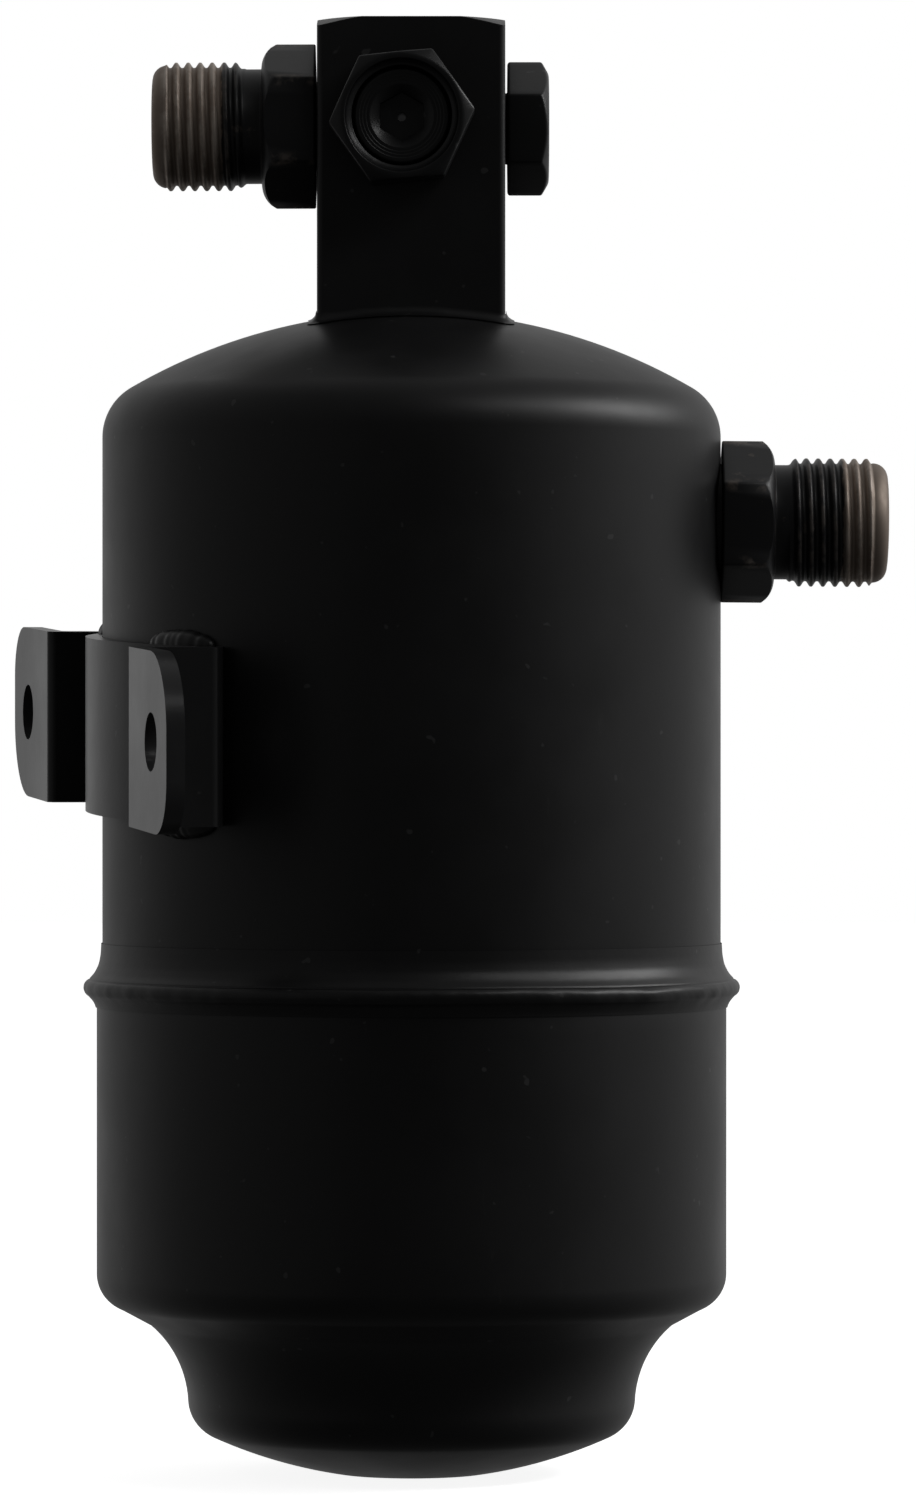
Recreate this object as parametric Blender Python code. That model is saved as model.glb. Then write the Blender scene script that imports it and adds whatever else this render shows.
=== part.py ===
"""Refrigerant reservoir (receiver-drier): a welded two-piece steel can with a machined head block.

Liquid enters by the threaded inlet on the upper shell, falls through the spring-loaded desiccant
pack into the sump, and leaves by the pickup tube, the head block and the outlet fitting.
Frame: +Z up along the can's axis, z = 0 on the small flat of the dished bottom. The outlet points
to -X, the inlet to +X, the relief valve to -Y. All lengths are in metres.
"""
import math

import bmesh
import bpy
from mathutils import Matrix

# ---- fits -------------------------------------------------------------------------------------
GAP = 0.0003               # clearance left between pieces that touch
WALL = 0.0018              # sheet thickness of both shells
OVERCUT = 0.0010           # how far a cutter runs past the face that it cuts

# ---- lower shell ------------------------------------------------------------------------------
LOWER_RADIUS = 0.0390
LOWER_RIM_Z = 0.0595
BASE_FLAT_RADIUS = 0.0098  # the flat that the can stands on
DISH_RADIUS = 0.0600       # sphere of the dished bottom
SUMP_RADIUS = 0.0277       # the narrow cup below the shoulder
SUMP_KNUCKLE = 0.0050
FLARE_RADIUS = 0.01345     # concave sweep from the sump out to the shoulder
FLARE_START = 177.0        # degrees
FLARE_END = 130.2
FLARE_CENTRE = (0.04112, 0.00813)
SHOULDER_RADIUS = 0.0045
SHOULDER_Z = 0.0246        # height of the shoulder arc's centre
SHOULDER_START = -69.0     # degrees

# ---- upper shell ------------------------------------------------------------------------------
UPPER_RADIUS = 0.0383
DOME_TOP_Z = 0.1436
CROWN_RADIUS = 0.0690
CROWN_KNUCKLE = 0.0070
SKIRT_GAP = 0.0003         # radial play of the joggled skirt inside the lower shell
SKIRT_END_Z = 0.0520
JOGGLE_LOW_Z = 0.0600
JOGGLE_HIGH_Z = 0.0620
DOME_HOLE_RADIUS = 0.0067

# ---- girth weld -------------------------------------------------------------------------------
WELD_CREST_RADIUS = 0.04066
WELD_CREST_Z = 0.0603
WELD_ROLL_RADIUS = 0.00115  # roundness of the bead itself
WELD_LOW_Z = 0.0576         # where it runs out on the lower shell
WELD_HIGH_Z = 0.0648        # and on the upper shell
WELD_FLARE = ((0.0012, 0.0619), (0.0005, 0.0631))  # (proud of the upper shell, height)

# ---- head block -------------------------------------------------------------------------------
BLOCK_SIDE = 0.0231
BLOCK_CORNER = 0.0008
BLOCK_TOP_Z = 0.1793
BLOCK_CHAMFER_RADIUS = 0.0130  # the top's corners are turned down outside this radius
BLOCK_CHAMFER_SLOPE = 20.0     # degrees below level
SPIGOT_RADIUS = 0.0064
SPIGOT_END_Z = 0.1385
SPIGOT_ROOT_Z = 0.1500     # inside the block
CORNER_REACH = 0.0180      # further from the axis than the block's corners
BELOW_BLOCK_Z = 0.1300     # where the block's cutters start
PORT_Z = 0.1666
RISER_TOP_Z = 0.1652
BLOCK_WELD_LEG = 0.0010

# ---- ports: bore radius and depth, seal seat radius and depth, gallery radius and depth -------
OUTLET_PORT = (0.0055, 0.0050, 0.0074, 0.0019, 0.0030, 0.0131)
BLANK_PORT = (0.0047, 0.0050, 0.0066, 0.0019, 0.0026, 0.0107)
RELIEF_PORT = (0.0055, 0.0051, 0.0074, 0.0019, 0.0016, 0.0100)
PORT_STUB_RADIUS = 0.0052  # stubs of the outlet fitting and the relief valve
SEAL_TUBE_RADIUS = 0.00075
SEAL_CLEARANCE = 0.00035   # from a stub to its O-ring
SEAL_DEPTH = 0.00085

# ---- threaded fittings ------------------------------------------------------------------------
THREAD_RADIUS = 0.00790    # over the crests
NECK_RADIUS = 0.00706
FITTING_BORE = 0.0042
FITTING_MOUTH = 0.0056
MOUTH_DEPTH = 0.0014
THREAD_CHAMFER = 0.0008    # at both ends of the thread
TIP_RADIUS = 0.0073        # plain lead in front of the thread
TIP_LENGTH = 0.0014
TIP_CHAMFER = 0.0009
HEX_CHAMFER = 30.0         # degrees
HEX_FACE_RADIUS = 0.0071   # turned end face of the two connectors' hexagons
HEX_DOME_RADIUS = 0.0032   # rounds them off outside that face
OUTLET_HEX_FLATS = 0.0178
OUTLET_HEX_TURN = -1.5     # degrees
OUTLET_DROOP = 0.55         # degrees that its outer end hangs
OUTLET_HEX_END = 0.00675   # distances from the block's face
OUTLET_NECK_END = 0.0092
OUTLET_END = 0.0205
OUTLET_STUB = 0.0046
INLET_Z = 0.1177
INLET_HEX_FLATS = 0.0174
INLET_HEX_TURN = 3.3       # degrees
INLET_DROOP = 0.9           # degrees that its outer end hangs
INLET_HEX_START = GAP      # distances from the shell's surface
INLET_HEX_END = 0.0067
INLET_NECK_END = 0.0086
INLET_END = 0.0207
INLET_STUB = 0.0050
INLET_PILOT_RADIUS = 0.0072
INLET_HOLE_REACH = 0.0070  # how far the hole's cutter goes into the can
BRAZE_LEG = 0.0018

# ---- blanking plug and relief valve -----------------------------------------------------------
PLUG_HEX_FLATS = 0.0144
PLUG_Z = 0.1664
PLUG_HEX_TURN = 4.0        # degrees
PLUG_FACE_RADIUS = 0.0067
PLUG_HEAD_END = 0.00545
PLUG_STUB_RADIUS = 0.0044
PLUG_STUB = 0.0046
PLUG_LEAD = 0.0005         # chamfer at the stub's end
RELIEF_X = -0.0011
RELIEF_HEX_FLATS = 0.0155
RELIEF_HEX_TURN = 5.4      # degrees
RELIEF_FACE_RADIUS = 0.0075
RELIEF_HEAD_END = 0.0076
RELIEF_STUB = 0.0048
RELIEF_DISH_RADIUS = 0.0069
RELIEF_DISH_DEPTH = 0.0009
RELIEF_SCREW_BORE = 0.0061
RELIEF_CHAMBER_RADIUS = 0.0034
RELIEF_CHAMBER_LOW = -0.0036
RELIEF_CHAMBER_HIGH = 0.0012
RELIEF_SEAT_RADIUS = 0.0015
ADJUSTER_LOW = 0.0016
ADJUSTER_HIGH = 0.0063
ADJUSTER_SOCKET_FLATS = 0.0052
ADJUSTER_SOCKET_DEPTH = 0.0030
ADJUSTER_EDGE = 0.0004
POPPET_DISC = 0.0010       # thickness; it lifts 0.8 mm at most before the spring is solid
POPPET_STEM_RADIUS = 0.0010
POPPET_STEM_REACH = 0.0010 # how far the stem runs into the adjuster
RELIEF_WIRE_RADIUS = 0.00030
RELIEF_SPRING_RADIUS = 0.0022
RELIEF_SPRING_TURNS = 3.0

# ---- inside the can ---------------------------------------------------------------------------
TUBE_RADIUS = 0.0040
TUBE_BORE = 0.0032
TUBE_LOW_Z = 0.0080
TUBE_HIGH_Z = 0.1580
STRAINER_RADIUS = 0.0062
STRAINER_LOW_Z = 0.0040
STRAINER_HIGH_Z = 0.0145
STRAINER_WALL = 0.0008
STRAINER_SLOTS = 3         # each goes right through, so it opens both sides
STRAINER_SLOT_WIDTH = 0.0014
STRAINER_SLOT_LOW = 0.0018 # from the cup's floor
STRAINER_SLOT_HIGH = 0.0030  # from the cup's top
LOWER_PLATE_Z = 0.0223
LOWER_PLATE_RADIUS = 0.0350
UPPER_PLATE_Z = 0.0956
UPPER_PLATE_RADIUS = 0.0360
PLATE_THICKNESS = 0.0012
PLATE_HOLE_RADIUS = 0.0018
PLATE_HOLES = ((6, 0.0120), (8, 0.0235))  # (number, pitch radius)
PLATE_COLLAR_RADIUS = 0.0060
PLATE_COLLAR_HEIGHT = 0.0050
PAD_THICKNESS = 0.0035
PACK_RADIUS = 0.0346
PACK_SPRING_RADIUS = 0.0140
PACK_WIRE_RADIUS = 0.0010
PACK_SPRING_TURNS = 5.5
PACK_SPRING_TOP_Z = 0.1397

# ---- mounting bracket -------------------------------------------------------------------------
BRACKET_TURN = 14.0        # degrees from -X towards -Y
BRACKET_Z = 0.0923
BRACKET_CANT = 2.9         # degrees, the -Y ear lower
STRIP_THICKNESS = 0.00225
SADDLE_THICKNESS = 0.0018  # thinner where the strip is pressed round the can
STRIP_HEIGHT = 0.0215
WEB_FACE = 0.0248          # inner face of each web, from the bracket's middle
EAR_PLANE = 0.0410         # outer face of the ears, from the can's axis
EAR_TIP = 0.0475
BEND_RADIUS = 0.0010       # outside the bend from web to ear
BEND_INSIDE = 0.0006
SADDLE_HALF = 0.0246       # half the width that lies on the can
FOOT_OUT = 0.0312          # where each web's back starts to round off towards the can
FOOT_ROUND = 0.0018
EAR_LARGE_ROUND = 0.0092
EAR_SMALL_ROUND = 0.0065
BOLT_HOLE_RADIUS = 0.0035
BOLT_HOLE_OFFSET = 0.0385
TACK_LEG = 0.0018
TACK_START = 24.0          # degrees from the bracket's middle
TACK_END = 37.0
EAR_CUT_LOW = 0.0200       # the ears' blanking cut starts here, from the can's axis
HOLE_CUT_LOW = 0.0300
EAR_CUT_HIGH = 0.0500

# ---- fineness of the round shapes -------------------------------------------------------------
CAN_STEPS = 48
PACK_STEPS = 32
FITTING_STEPS = 24         # a multiple of six, so that hexagons keep their corners
SMALL_STEPS = 18


# ---- helpers ----------------------------------------------------------------------------------
def clear_scene():
    for item in list(bpy.data.objects):
        bpy.data.objects.remove(item, do_unlink=True)


def make_material(name, colour, roughness, metallic):
    """One Principled surface."""
    material = bpy.data.materials.new(name)
    material.use_nodes = True
    shader = material.node_tree.nodes["Principled BSDF"]
    shader.inputs["Base Color"].default_value = (*colour, 1.0)
    shader.inputs["Roughness"].default_value = roughness
    shader.inputs["Metallic"].default_value = metallic
    return material


def black_paint(name):
    return make_material(name, (0.012, 0.012, 0.013), 0.45, 0.0)


def bare_steel(name):
    return make_material(name, (0.32, 0.29, 0.26), 0.38, 1.0)


def rubber(name):
    return make_material(name, (0.015, 0.02, 0.016), 0.6, 0.0)


def add_object(name, mesh, material, frame=None):
    """Links a mesh as a named object, inside a frame (an empty) where one is given."""
    item = bpy.data.objects.new(name, mesh)
    bpy.context.scene.collection.objects.link(item)
    item.parent = frame
    if material:
        mesh.materials.append(material)
    return item


def add_frame(name, location, rotation):
    """An empty whose axes carry the pieces of one port or of the bracket."""
    frame = bpy.data.objects.new(name, None)
    frame.location = location
    frame.rotation_euler = rotation
    bpy.context.scene.collection.objects.link(frame)
    return frame


def finish_mesh(name, shape, smooth=True):
    """Turns a bmesh into a mesh with its faces pointing out."""
    bmesh.ops.recalc_face_normals(shape, faces=shape.faces)
    mesh = bpy.data.meshes.new(name)
    shape.to_mesh(mesh)
    shape.free()
    if smooth:
        mesh.shade_smooth()
        mesh.set_sharp_from_angle(angle=math.radians(32.0))
    return mesh


def turned_mesh(name, profile, steps):
    """Spins a profile of (radius, height) points about Z. Its ends lie on the axis, or it is a loop."""
    shape = bmesh.new()
    points = [shape.verts.new((radius, 0.0, height)) for radius, height in profile]
    edges = [shape.edges.new(pair) for pair in zip(points, points[1:])]
    on_axis = profile[0][0] == 0.0 and profile[-1][0] == 0.0
    if not on_axis:
        edges.append(shape.edges.new((points[-1], points[0])))
    bmesh.ops.spin(shape, geom=points + edges, cent=(0, 0, 0), axis=(0, 0, 1),
                   angle=math.tau, steps=steps, use_merge=True)
    bmesh.ops.remove_doubles(shape, verts=shape.verts, dist=1e-6)
    return finish_mesh(name, shape)


def prism_mesh(name, outline, low, high, smooth=False):
    """Extrudes an outline in the XY plane from height low to height high."""
    shape = bmesh.new()
    face = shape.faces.new([shape.verts.new((x, y, low)) for x, y in outline])
    lifted = bmesh.ops.extrude_face_region(shape, geom=[face])["geom"]
    top = [part for part in lifted if isinstance(part, bmesh.types.BMVert)]
    bmesh.ops.translate(shape, verts=top, vec=(0, 0, high - low))
    return finish_mesh(name, shape, smooth)


def swept_mesh(name, sections, closed):
    """Joins a row of equal polygons into one solid: a ring, or a bar with two end faces."""
    shape = bmesh.new()
    rings = [[shape.verts.new(point) for point in section] for section in sections]
    pairs = list(zip(rings, rings[1:]))
    if closed:
        pairs.append((rings[-1], rings[0]))
    else:
        shape.faces.new(rings[0])
        shape.faces.new(rings[-1])
    count = len(rings[0])
    for here, there in pairs:
        for i in range(count):
            j = (i + 1) % count
            shape.faces.new((here[i], here[j], there[j], there[i]))
    return finish_mesh(name, shape)


def as_cutter(item):
    item.hide_render = True
    item.display_type = "WIRE"
    return item


def combine(item, other, operation):
    """Adds a Boolean that joins, cuts or intersects with a hidden second object."""
    modifier = item.modifiers.new(other.name, "BOOLEAN")
    modifier.operation = operation
    modifier.solver = "EXACT"
    modifier.object = as_cutter(other)


def arc(centre, radius, start, end, steps):
    """Points of (radius, height) on an arc between two angles in degrees, both ends included."""
    points = []
    for i in range(steps + 1):
        angle = math.radians(start + (end - start) * i / steps)
        points.append((centre[0] + radius * math.cos(angle), centre[1] + radius * math.sin(angle)))
    return points


def circle_outline(centre, radius, count, turn=0.0):
    """Even points on a circle, the first one turn degrees round it."""
    return arc(centre, radius, turn, turn + 360.0 - 360.0 / count, count - 1)


def rounded_rectangle(low, high, radii, steps=4):
    """Outline from corner low to corner high. radii: low-low, high-low, high-high, low-high."""
    corners = ((low[0], low[1], 180), (high[0], low[1], 270), (high[0], high[1], 0),
               (low[0], high[1], 90))
    outline = []
    for (x, y, start), radius in zip(corners, radii):
        centre = (x + radius * (1 if x == low[0] else -1), y + radius * (1 if y == low[1] else -1))
        outline += arc(centre, radius, start, start + 90, steps)
    return outline


def circle_ring(radius, height, steps=FITTING_STEPS):
    """One level of a ring stack: points evenly round the Z axis, or one point on it."""
    if radius == 0.0:
        return [(0.0, 0.0, height)]
    angles = [math.tau * i / steps for i in range(steps)]
    return [(radius * math.cos(angle), radius * math.sin(angle), height) for angle in angles]


def coned_end(outside_face):
    """How far a chamfered end of a hexagon has dropped at some distance outside its flat face."""
    return outside_face * math.tan(math.radians(HEX_CHAMFER))


def domed_end(outside_face):
    """The same for an end that is rounded off."""
    return HEX_DOME_RADIUS - math.sqrt(HEX_DOME_RADIUS ** 2 - outside_face ** 2)


def hexagon_ring(flats, height, turn=0.0, face=0.0, drop=None, steps=FITTING_STEPS):
    """A hexagonal level, turned some degrees from having corners on X. Given a way to drop, it
    falls below its height outside the face radius."""
    points = []
    for i in range(steps):
        angle = math.tau * i / steps
        from_flat = angle % (math.tau / 6) - math.tau / 12
        radius = flats / 2 / math.cos(from_flat)
        around = angle + math.radians(turn)
        fall = drop(radius - face) if drop else 0.0
        points.append((radius * math.cos(around), radius * math.sin(around), height - fall))
    return points


def shaped_hexagon(flats, low, high, turn, face, drop):
    """Levels of a hexagonal head from its plain inner end to its shaped outer face."""
    edge = (face + flats / 2) / 2
    return [hexagon_ring(flats, low, turn), hexagon_ring(flats, high, turn, face, drop),
            circle_ring(edge, high - drop(edge - face)), circle_ring(face, high)]


def stacked_mesh(name, levels):
    """Skins a row of rings. The ends are single points on the axis, or the row closes on itself."""
    shape = bmesh.new()
    rings = [[shape.verts.new(point) for point in level] for level in levels]
    pairs = list(zip(rings, rings[1:]))
    if len(rings[0]) > 1:
        pairs.append((rings[-1], rings[0]))
    for here, there in pairs:
        count = max(len(here), len(there))
        for i in range(count):
            j = (i + 1) % count
            if len(here) == 1:
                corners = (here[0], there[j], there[i])
            elif len(there) == 1:
                corners = (here[i], here[j], there[0])
            else:
                corners = (here[i], here[j], there[j], there[i])
            shape.faces.new(corners)
    return finish_mesh(name, shape)


def add_stacked(name, levels, material, frame=None):
    return add_object(name, stacked_mesh(name, levels), material, frame)


def add_turned(name, profile, steps, material, frame=None):
    return add_object(name, turned_mesh(name, profile, steps), material, frame)


def ring_profile(inner, outer, low, high):
    return [(inner, low), (outer, low), (outer, high), (inner, high)]


# ---- the can ----------------------------------------------------------------------------------
def crown_points(offset, hole_radius, steps):
    """Dome from its centre hole to the cylinder, moved inwards from the outer skin by offset."""
    crown_centre = DOME_TOP_Z - CROWN_RADIUS
    knuckle_r = UPPER_RADIUS - CROWN_KNUCKLE
    knuckle_z = crown_centre + math.sqrt((CROWN_RADIUS - CROWN_KNUCKLE) ** 2 - knuckle_r ** 2)
    meeting = math.degrees(math.acos(knuckle_r / (CROWN_RADIUS - CROWN_KNUCKLE)))
    radius = CROWN_RADIUS - offset
    start = math.degrees(math.acos(hole_radius / radius))
    crown = arc((0.0, crown_centre), radius, start, meeting, steps)
    return crown[:-1] + arc((knuckle_r, knuckle_z), CROWN_KNUCKLE - offset, meeting, 0.0, steps)


def upper_shell(inlet_frame):
    skirt = LOWER_RADIUS - WALL - SKIRT_GAP
    inner = UPPER_RADIUS - WALL
    profile = crown_points(0.0, DOME_HOLE_RADIUS, 4)
    profile += [(UPPER_RADIUS, JOGGLE_HIGH_Z), (skirt, JOGGLE_LOW_Z), (skirt, SKIRT_END_Z)]
    profile += [(skirt - WALL, SKIRT_END_Z), (skirt - WALL, JOGGLE_LOW_Z), (inner, JOGGLE_HIGH_Z)]
    profile += reversed(crown_points(WALL, DOME_HOLE_RADIUS, 3))
    shell = add_turned("upper_shell", profile, CAN_STEPS, black_paint("upper_shell_paint"))
    outline = circle_outline((0.0, 0.0), INLET_PILOT_RADIUS + GAP, FITTING_STEPS)
    hole = prism_mesh("inlet_hole", outline, -INLET_HOLE_REACH, OVERCUT)
    combine(shell, add_object("inlet_hole", hole, None, inlet_frame), "DIFFERENCE")


def lower_skin(offset, steps):
    """Bottom of the lower shell from the axis to the wall, moved inwards by offset."""
    centre_z = math.sqrt(DISH_RADIUS ** 2 - BASE_FLAT_RADIUS ** 2)
    knuckle_r = SUMP_RADIUS - SUMP_KNUCKLE
    knuckle_z = centre_z - math.sqrt((DISH_RADIUS - SUMP_KNUCKLE) ** 2 - knuckle_r ** 2)
    meeting = -math.degrees(math.acos(knuckle_r / (DISH_RADIUS - SUMP_KNUCKLE)))
    dish = DISH_RADIUS - offset
    flat_edge = -math.degrees(math.asin((centre_z - offset) / dish))
    points = [(0.0, offset)]
    points += arc((0.0, centre_z), dish, flat_edge, meeting, 2)[:-1]
    points += arc((knuckle_r, knuckle_z), SUMP_KNUCKLE - offset, meeting, FLARE_START - 180, steps)
    points += arc(FLARE_CENTRE, FLARE_RADIUS + offset, FLARE_START, FLARE_END, steps)[1:]
    shoulder = (LOWER_RADIUS - SHOULDER_RADIUS, SHOULDER_Z)
    points += arc(shoulder, SHOULDER_RADIUS - offset, SHOULDER_START, 0.0, steps)
    return points


def lower_shell():
    profile = lower_skin(0.0, 4)
    profile += [(LOWER_RADIUS, LOWER_RIM_Z), (LOWER_RADIUS - WALL, LOWER_RIM_Z)]
    profile += reversed(lower_skin(WALL, 3))
    add_turned("lower_shell", profile, CAN_STEPS, black_paint("lower_shell_paint"))


def girth_weld():
    """The bead over the lower shell's rim, washed up on to the smaller upper shell."""
    toe = LOWER_RADIUS + GAP
    top = UPPER_RADIUS + GAP
    roll_centre = (WELD_CREST_RADIUS - WELD_ROLL_RADIUS, WELD_CREST_Z)
    profile = [(toe, WELD_LOW_Z)] + arc(roll_centre, WELD_ROLL_RADIUS, -62.0, 40.0, 4)
    profile += [(top + proud, height) for proud, height in WELD_FLARE]
    profile += [(top, WELD_HIGH_Z), (top, LOWER_RIM_Z + GAP), (toe, LOWER_RIM_Z + GAP)]
    add_turned("girth_weld", profile, CAN_STEPS, black_paint("girth_weld_paint"))


# ---- head block -------------------------------------------------------------------------------
def port_cutter(name, port, frame):
    """The stepped hole of one port, along its frame's Z: seal seat, bore and gallery."""
    bore, bore_depth, seat, seat_depth, gallery, gallery_depth = port
    profile = [(0.0, -gallery_depth), (gallery, -gallery_depth), (gallery, -bore_depth),
               (bore, -bore_depth), (bore, -seat_depth), (seat, -seat_depth), (seat, OVERCUT),
               (0.0, OVERCUT)]
    return add_object(name, turned_mesh(name, profile, SMALL_STEPS), None, frame)


def head_block(outlet_frame, blank_frame, relief_frame):
    half = BLOCK_SIDE / 2
    square = rounded_rectangle((-half, -half), (half, half), [BLOCK_CORNER] * 4, 2)
    body = prism_mesh("head_block", square, DOME_TOP_Z - 0.0050, BLOCK_TOP_Z + OVERCUT)
    block = add_object("head_block", body, black_paint("head_block_paint"))

    drop = (CORNER_REACH - BLOCK_CHAMFER_RADIUS) * math.tan(math.radians(BLOCK_CHAMFER_SLOPE))
    turned_top = [(0.0, BELOW_BLOCK_Z), (CORNER_REACH, BELOW_BLOCK_Z),
                  (CORNER_REACH, BLOCK_TOP_Z - drop), (BLOCK_CHAMFER_RADIUS, BLOCK_TOP_Z),
                  (0.0, BLOCK_TOP_Z)]
    combine(block, add_turned("block_top_turning", turned_top, CAN_STEPS, None), "INTERSECT")

    crown = arc((0.0, DOME_TOP_Z - CROWN_RADIUS), CROWN_RADIUS + GAP, 70.0, 90.0, 5)
    seat = [(0.0, BELOW_BLOCK_Z), (crown[0][0], BELOW_BLOCK_Z)] + crown[:-1] + [(0.0, crown[-1][1])]
    combine(block, add_turned("block_seat_cut", seat, CAN_STEPS, None), "DIFFERENCE")

    spigot = [(0.0, SPIGOT_END_Z), (SPIGOT_RADIUS, SPIGOT_END_Z), (SPIGOT_RADIUS, SPIGOT_ROOT_Z),
              (0.0, SPIGOT_ROOT_Z)]
    combine(block, add_turned("block_spigot", spigot, SMALL_STEPS, None), "UNION")

    tube_hole = TUBE_RADIUS + GAP
    riser = [(0.0, BELOW_BLOCK_Z), (tube_hole, BELOW_BLOCK_Z), (tube_hole, TUBE_HIGH_Z + GAP),
             (TUBE_BORE, TUBE_HIGH_Z + GAP), (TUBE_BORE, RISER_TOP_Z), (0.0, RISER_TOP_Z)]
    combine(block, add_turned("block_riser_hole", riser, SMALL_STEPS, None), "DIFFERENCE")
    combine(block, port_cutter("relief_port", RELIEF_PORT, relief_frame), "DIFFERENCE")
    combine(block, port_cutter("outlet_port", OUTLET_PORT, outlet_frame), "DIFFERENCE")
    combine(block, port_cutter("blank_port", BLANK_PORT, blank_frame), "DIFFERENCE")


def dome_height(radius):
    """Height of the dome's outer skin over a given distance from the axis."""
    return DOME_TOP_Z - CROWN_RADIUS + math.sqrt(CROWN_RADIUS ** 2 - radius ** 2)


def square_outline(half, corner, side_parts):
    """A rounded square whose straight sides are divided, so that it can follow the dome."""
    corners = rounded_rectangle((-half, -half), (half, half), [corner] * 4, 2)
    outline = []
    for here, there in zip(corners, corners[1:] + corners[:1]):
        parts = side_parts if math.dist(here, there) > half else 1
        for i in range(parts):
            share = i / parts
            outline.append((here[0] + (there[0] - here[0]) * share,
                            here[1] + (there[1] - here[1]) * share))
    return outline


def block_weld():
    """A small fillet all round the block's foot."""
    near, far = [square_outline(BLOCK_SIDE / 2 + grow, BLOCK_CORNER + grow, 6)
                 for grow in (GAP, GAP + BLOCK_WELD_LEG)]
    sections = []
    for (x, y), (far_x, far_y) in zip(near, far):
        foot = dome_height(math.hypot(x, y)) + GAP
        far_foot = dome_height(math.hypot(far_x, far_y)) + GAP
        sections.append([(x, y, foot), (far_x, far_y, far_foot), (x, y, foot + BLOCK_WELD_LEG)])
    mesh = swept_mesh("block_weld", sections, closed=True)
    add_object("block_weld", mesh, black_paint("block_weld_paint"))


# ---- fittings, plug and seals, along their frame's Z ------------------------------------------
def seal_ring(name, inner_radius, frame):
    """An O-ring in a port's seat, around a stub of a given radius."""
    centre = (inner_radius + SEAL_CLEARANCE + SEAL_TUBE_RADIUS, -SEAL_DEPTH)
    profile = circle_outline(centre, SEAL_TUBE_RADIUS, 6)
    add_turned(name, profile, SMALL_STEPS, rubber(name + "_rubber"), frame)


def threaded_fitting(name, frame, stub, hexagon, stations):
    """A male connector: stub or pilot (radius, length), hexagon (flats, turn), neck, thread, and a
    bore right through. stations: where the hexagon starts and ends, and the neck and thread end."""
    stub_radius, stub_length = stub
    hex_start, hex_end, neck_end, end = stations
    levels = [circle_ring(FITTING_BORE, -stub_length), circle_ring(stub_radius, -stub_length),
              circle_ring(stub_radius, hex_start)]
    levels += shaped_hexagon(hexagon[0], hex_start, hex_end, hexagon[1], HEX_FACE_RADIUS, domed_end)
    thread_end = end - TIP_LENGTH
    thread = [(NECK_RADIUS, hex_end), (NECK_RADIUS, neck_end),
              (THREAD_RADIUS, neck_end + THREAD_CHAMFER), (THREAD_RADIUS, thread_end - GAP),
              (TIP_RADIUS, thread_end), (TIP_RADIUS, end - TIP_CHAMFER),
              (TIP_RADIUS - TIP_CHAMFER, end), (FITTING_MOUTH, end),
              (FITTING_BORE, end - MOUTH_DEPTH)]
    levels += [circle_ring(radius, height) for radius, height in thread]
    add_stacked(name, levels, bare_steel(name + "_steel"), frame)


def inlet_braze():
    """Filler fillet inside the shell, around the inlet's pilot."""
    inner_wall = UPPER_RADIUS - WALL
    near = INLET_PILOT_RADIUS + GAP
    far = near + BRAZE_LEG
    sections = []
    for i in range(FITTING_STEPS):
        angle = math.tau * i / FITTING_STEPS
        side, rise = math.sin(angle), math.cos(angle)
        wall_near = math.sqrt(inner_wall ** 2 - (near * side) ** 2) - GAP
        wall_far = math.sqrt(inner_wall ** 2 - (far * side) ** 2) - GAP
        sections.append([(wall_near, near * side, INLET_Z + near * rise),
                         (wall_far, far * side, INLET_Z + far * rise),
                         (wall_near - BRAZE_LEG, near * side, INLET_Z + near * rise)])
    mesh = swept_mesh("inlet_braze", sections, closed=True)
    add_object("inlet_braze", mesh, make_material("inlet_braze_filler", (0.55, 0.38, 0.16), 0.4, 1.0))


def blanking_plug(frame):
    stub = [(0.0, -PLUG_STUB), (PLUG_STUB_RADIUS - PLUG_LEAD, -PLUG_STUB),
            (PLUG_STUB_RADIUS, -PLUG_STUB + PLUG_LEAD), (PLUG_STUB_RADIUS, GAP)]
    levels = [circle_ring(radius, height) for radius, height in stub]
    levels += [circle_ring(PLUG_FACE_RADIUS, GAP)]
    levels += shaped_hexagon(PLUG_HEX_FLATS, 2 * GAP, PLUG_HEAD_END, PLUG_HEX_TURN,
                             PLUG_FACE_RADIUS, coned_end)
    levels += [circle_ring(0.0, PLUG_HEAD_END)]
    add_stacked("blanking_plug", levels, black_paint("plug_paint"), frame)


def relief_valve_body(frame):
    """Screwed into the block's front port: seat hole, spring chamber, screw bore and dished face."""
    levels = [circle_ring(RELIEF_SEAT_RADIUS, -RELIEF_STUB),
              circle_ring(PORT_STUB_RADIUS, -RELIEF_STUB), circle_ring(PORT_STUB_RADIUS, GAP)]
    levels += shaped_hexagon(RELIEF_HEX_FLATS, GAP, RELIEF_HEAD_END, RELIEF_HEX_TURN,
                             RELIEF_FACE_RADIUS, coned_end)
    inside = [(RELIEF_DISH_RADIUS, RELIEF_HEAD_END),
              (RELIEF_SCREW_BORE, RELIEF_HEAD_END - RELIEF_DISH_DEPTH),
              (RELIEF_SCREW_BORE, RELIEF_CHAMBER_HIGH), (RELIEF_CHAMBER_RADIUS, RELIEF_CHAMBER_HIGH),
              (RELIEF_CHAMBER_RADIUS, RELIEF_CHAMBER_LOW), (RELIEF_SEAT_RADIUS, RELIEF_CHAMBER_LOW)]
    levels += [circle_ring(radius, height) for radius, height in inside]
    add_stacked("relief_valve_body", levels, black_paint("relief_body_paint"), frame)


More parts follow.
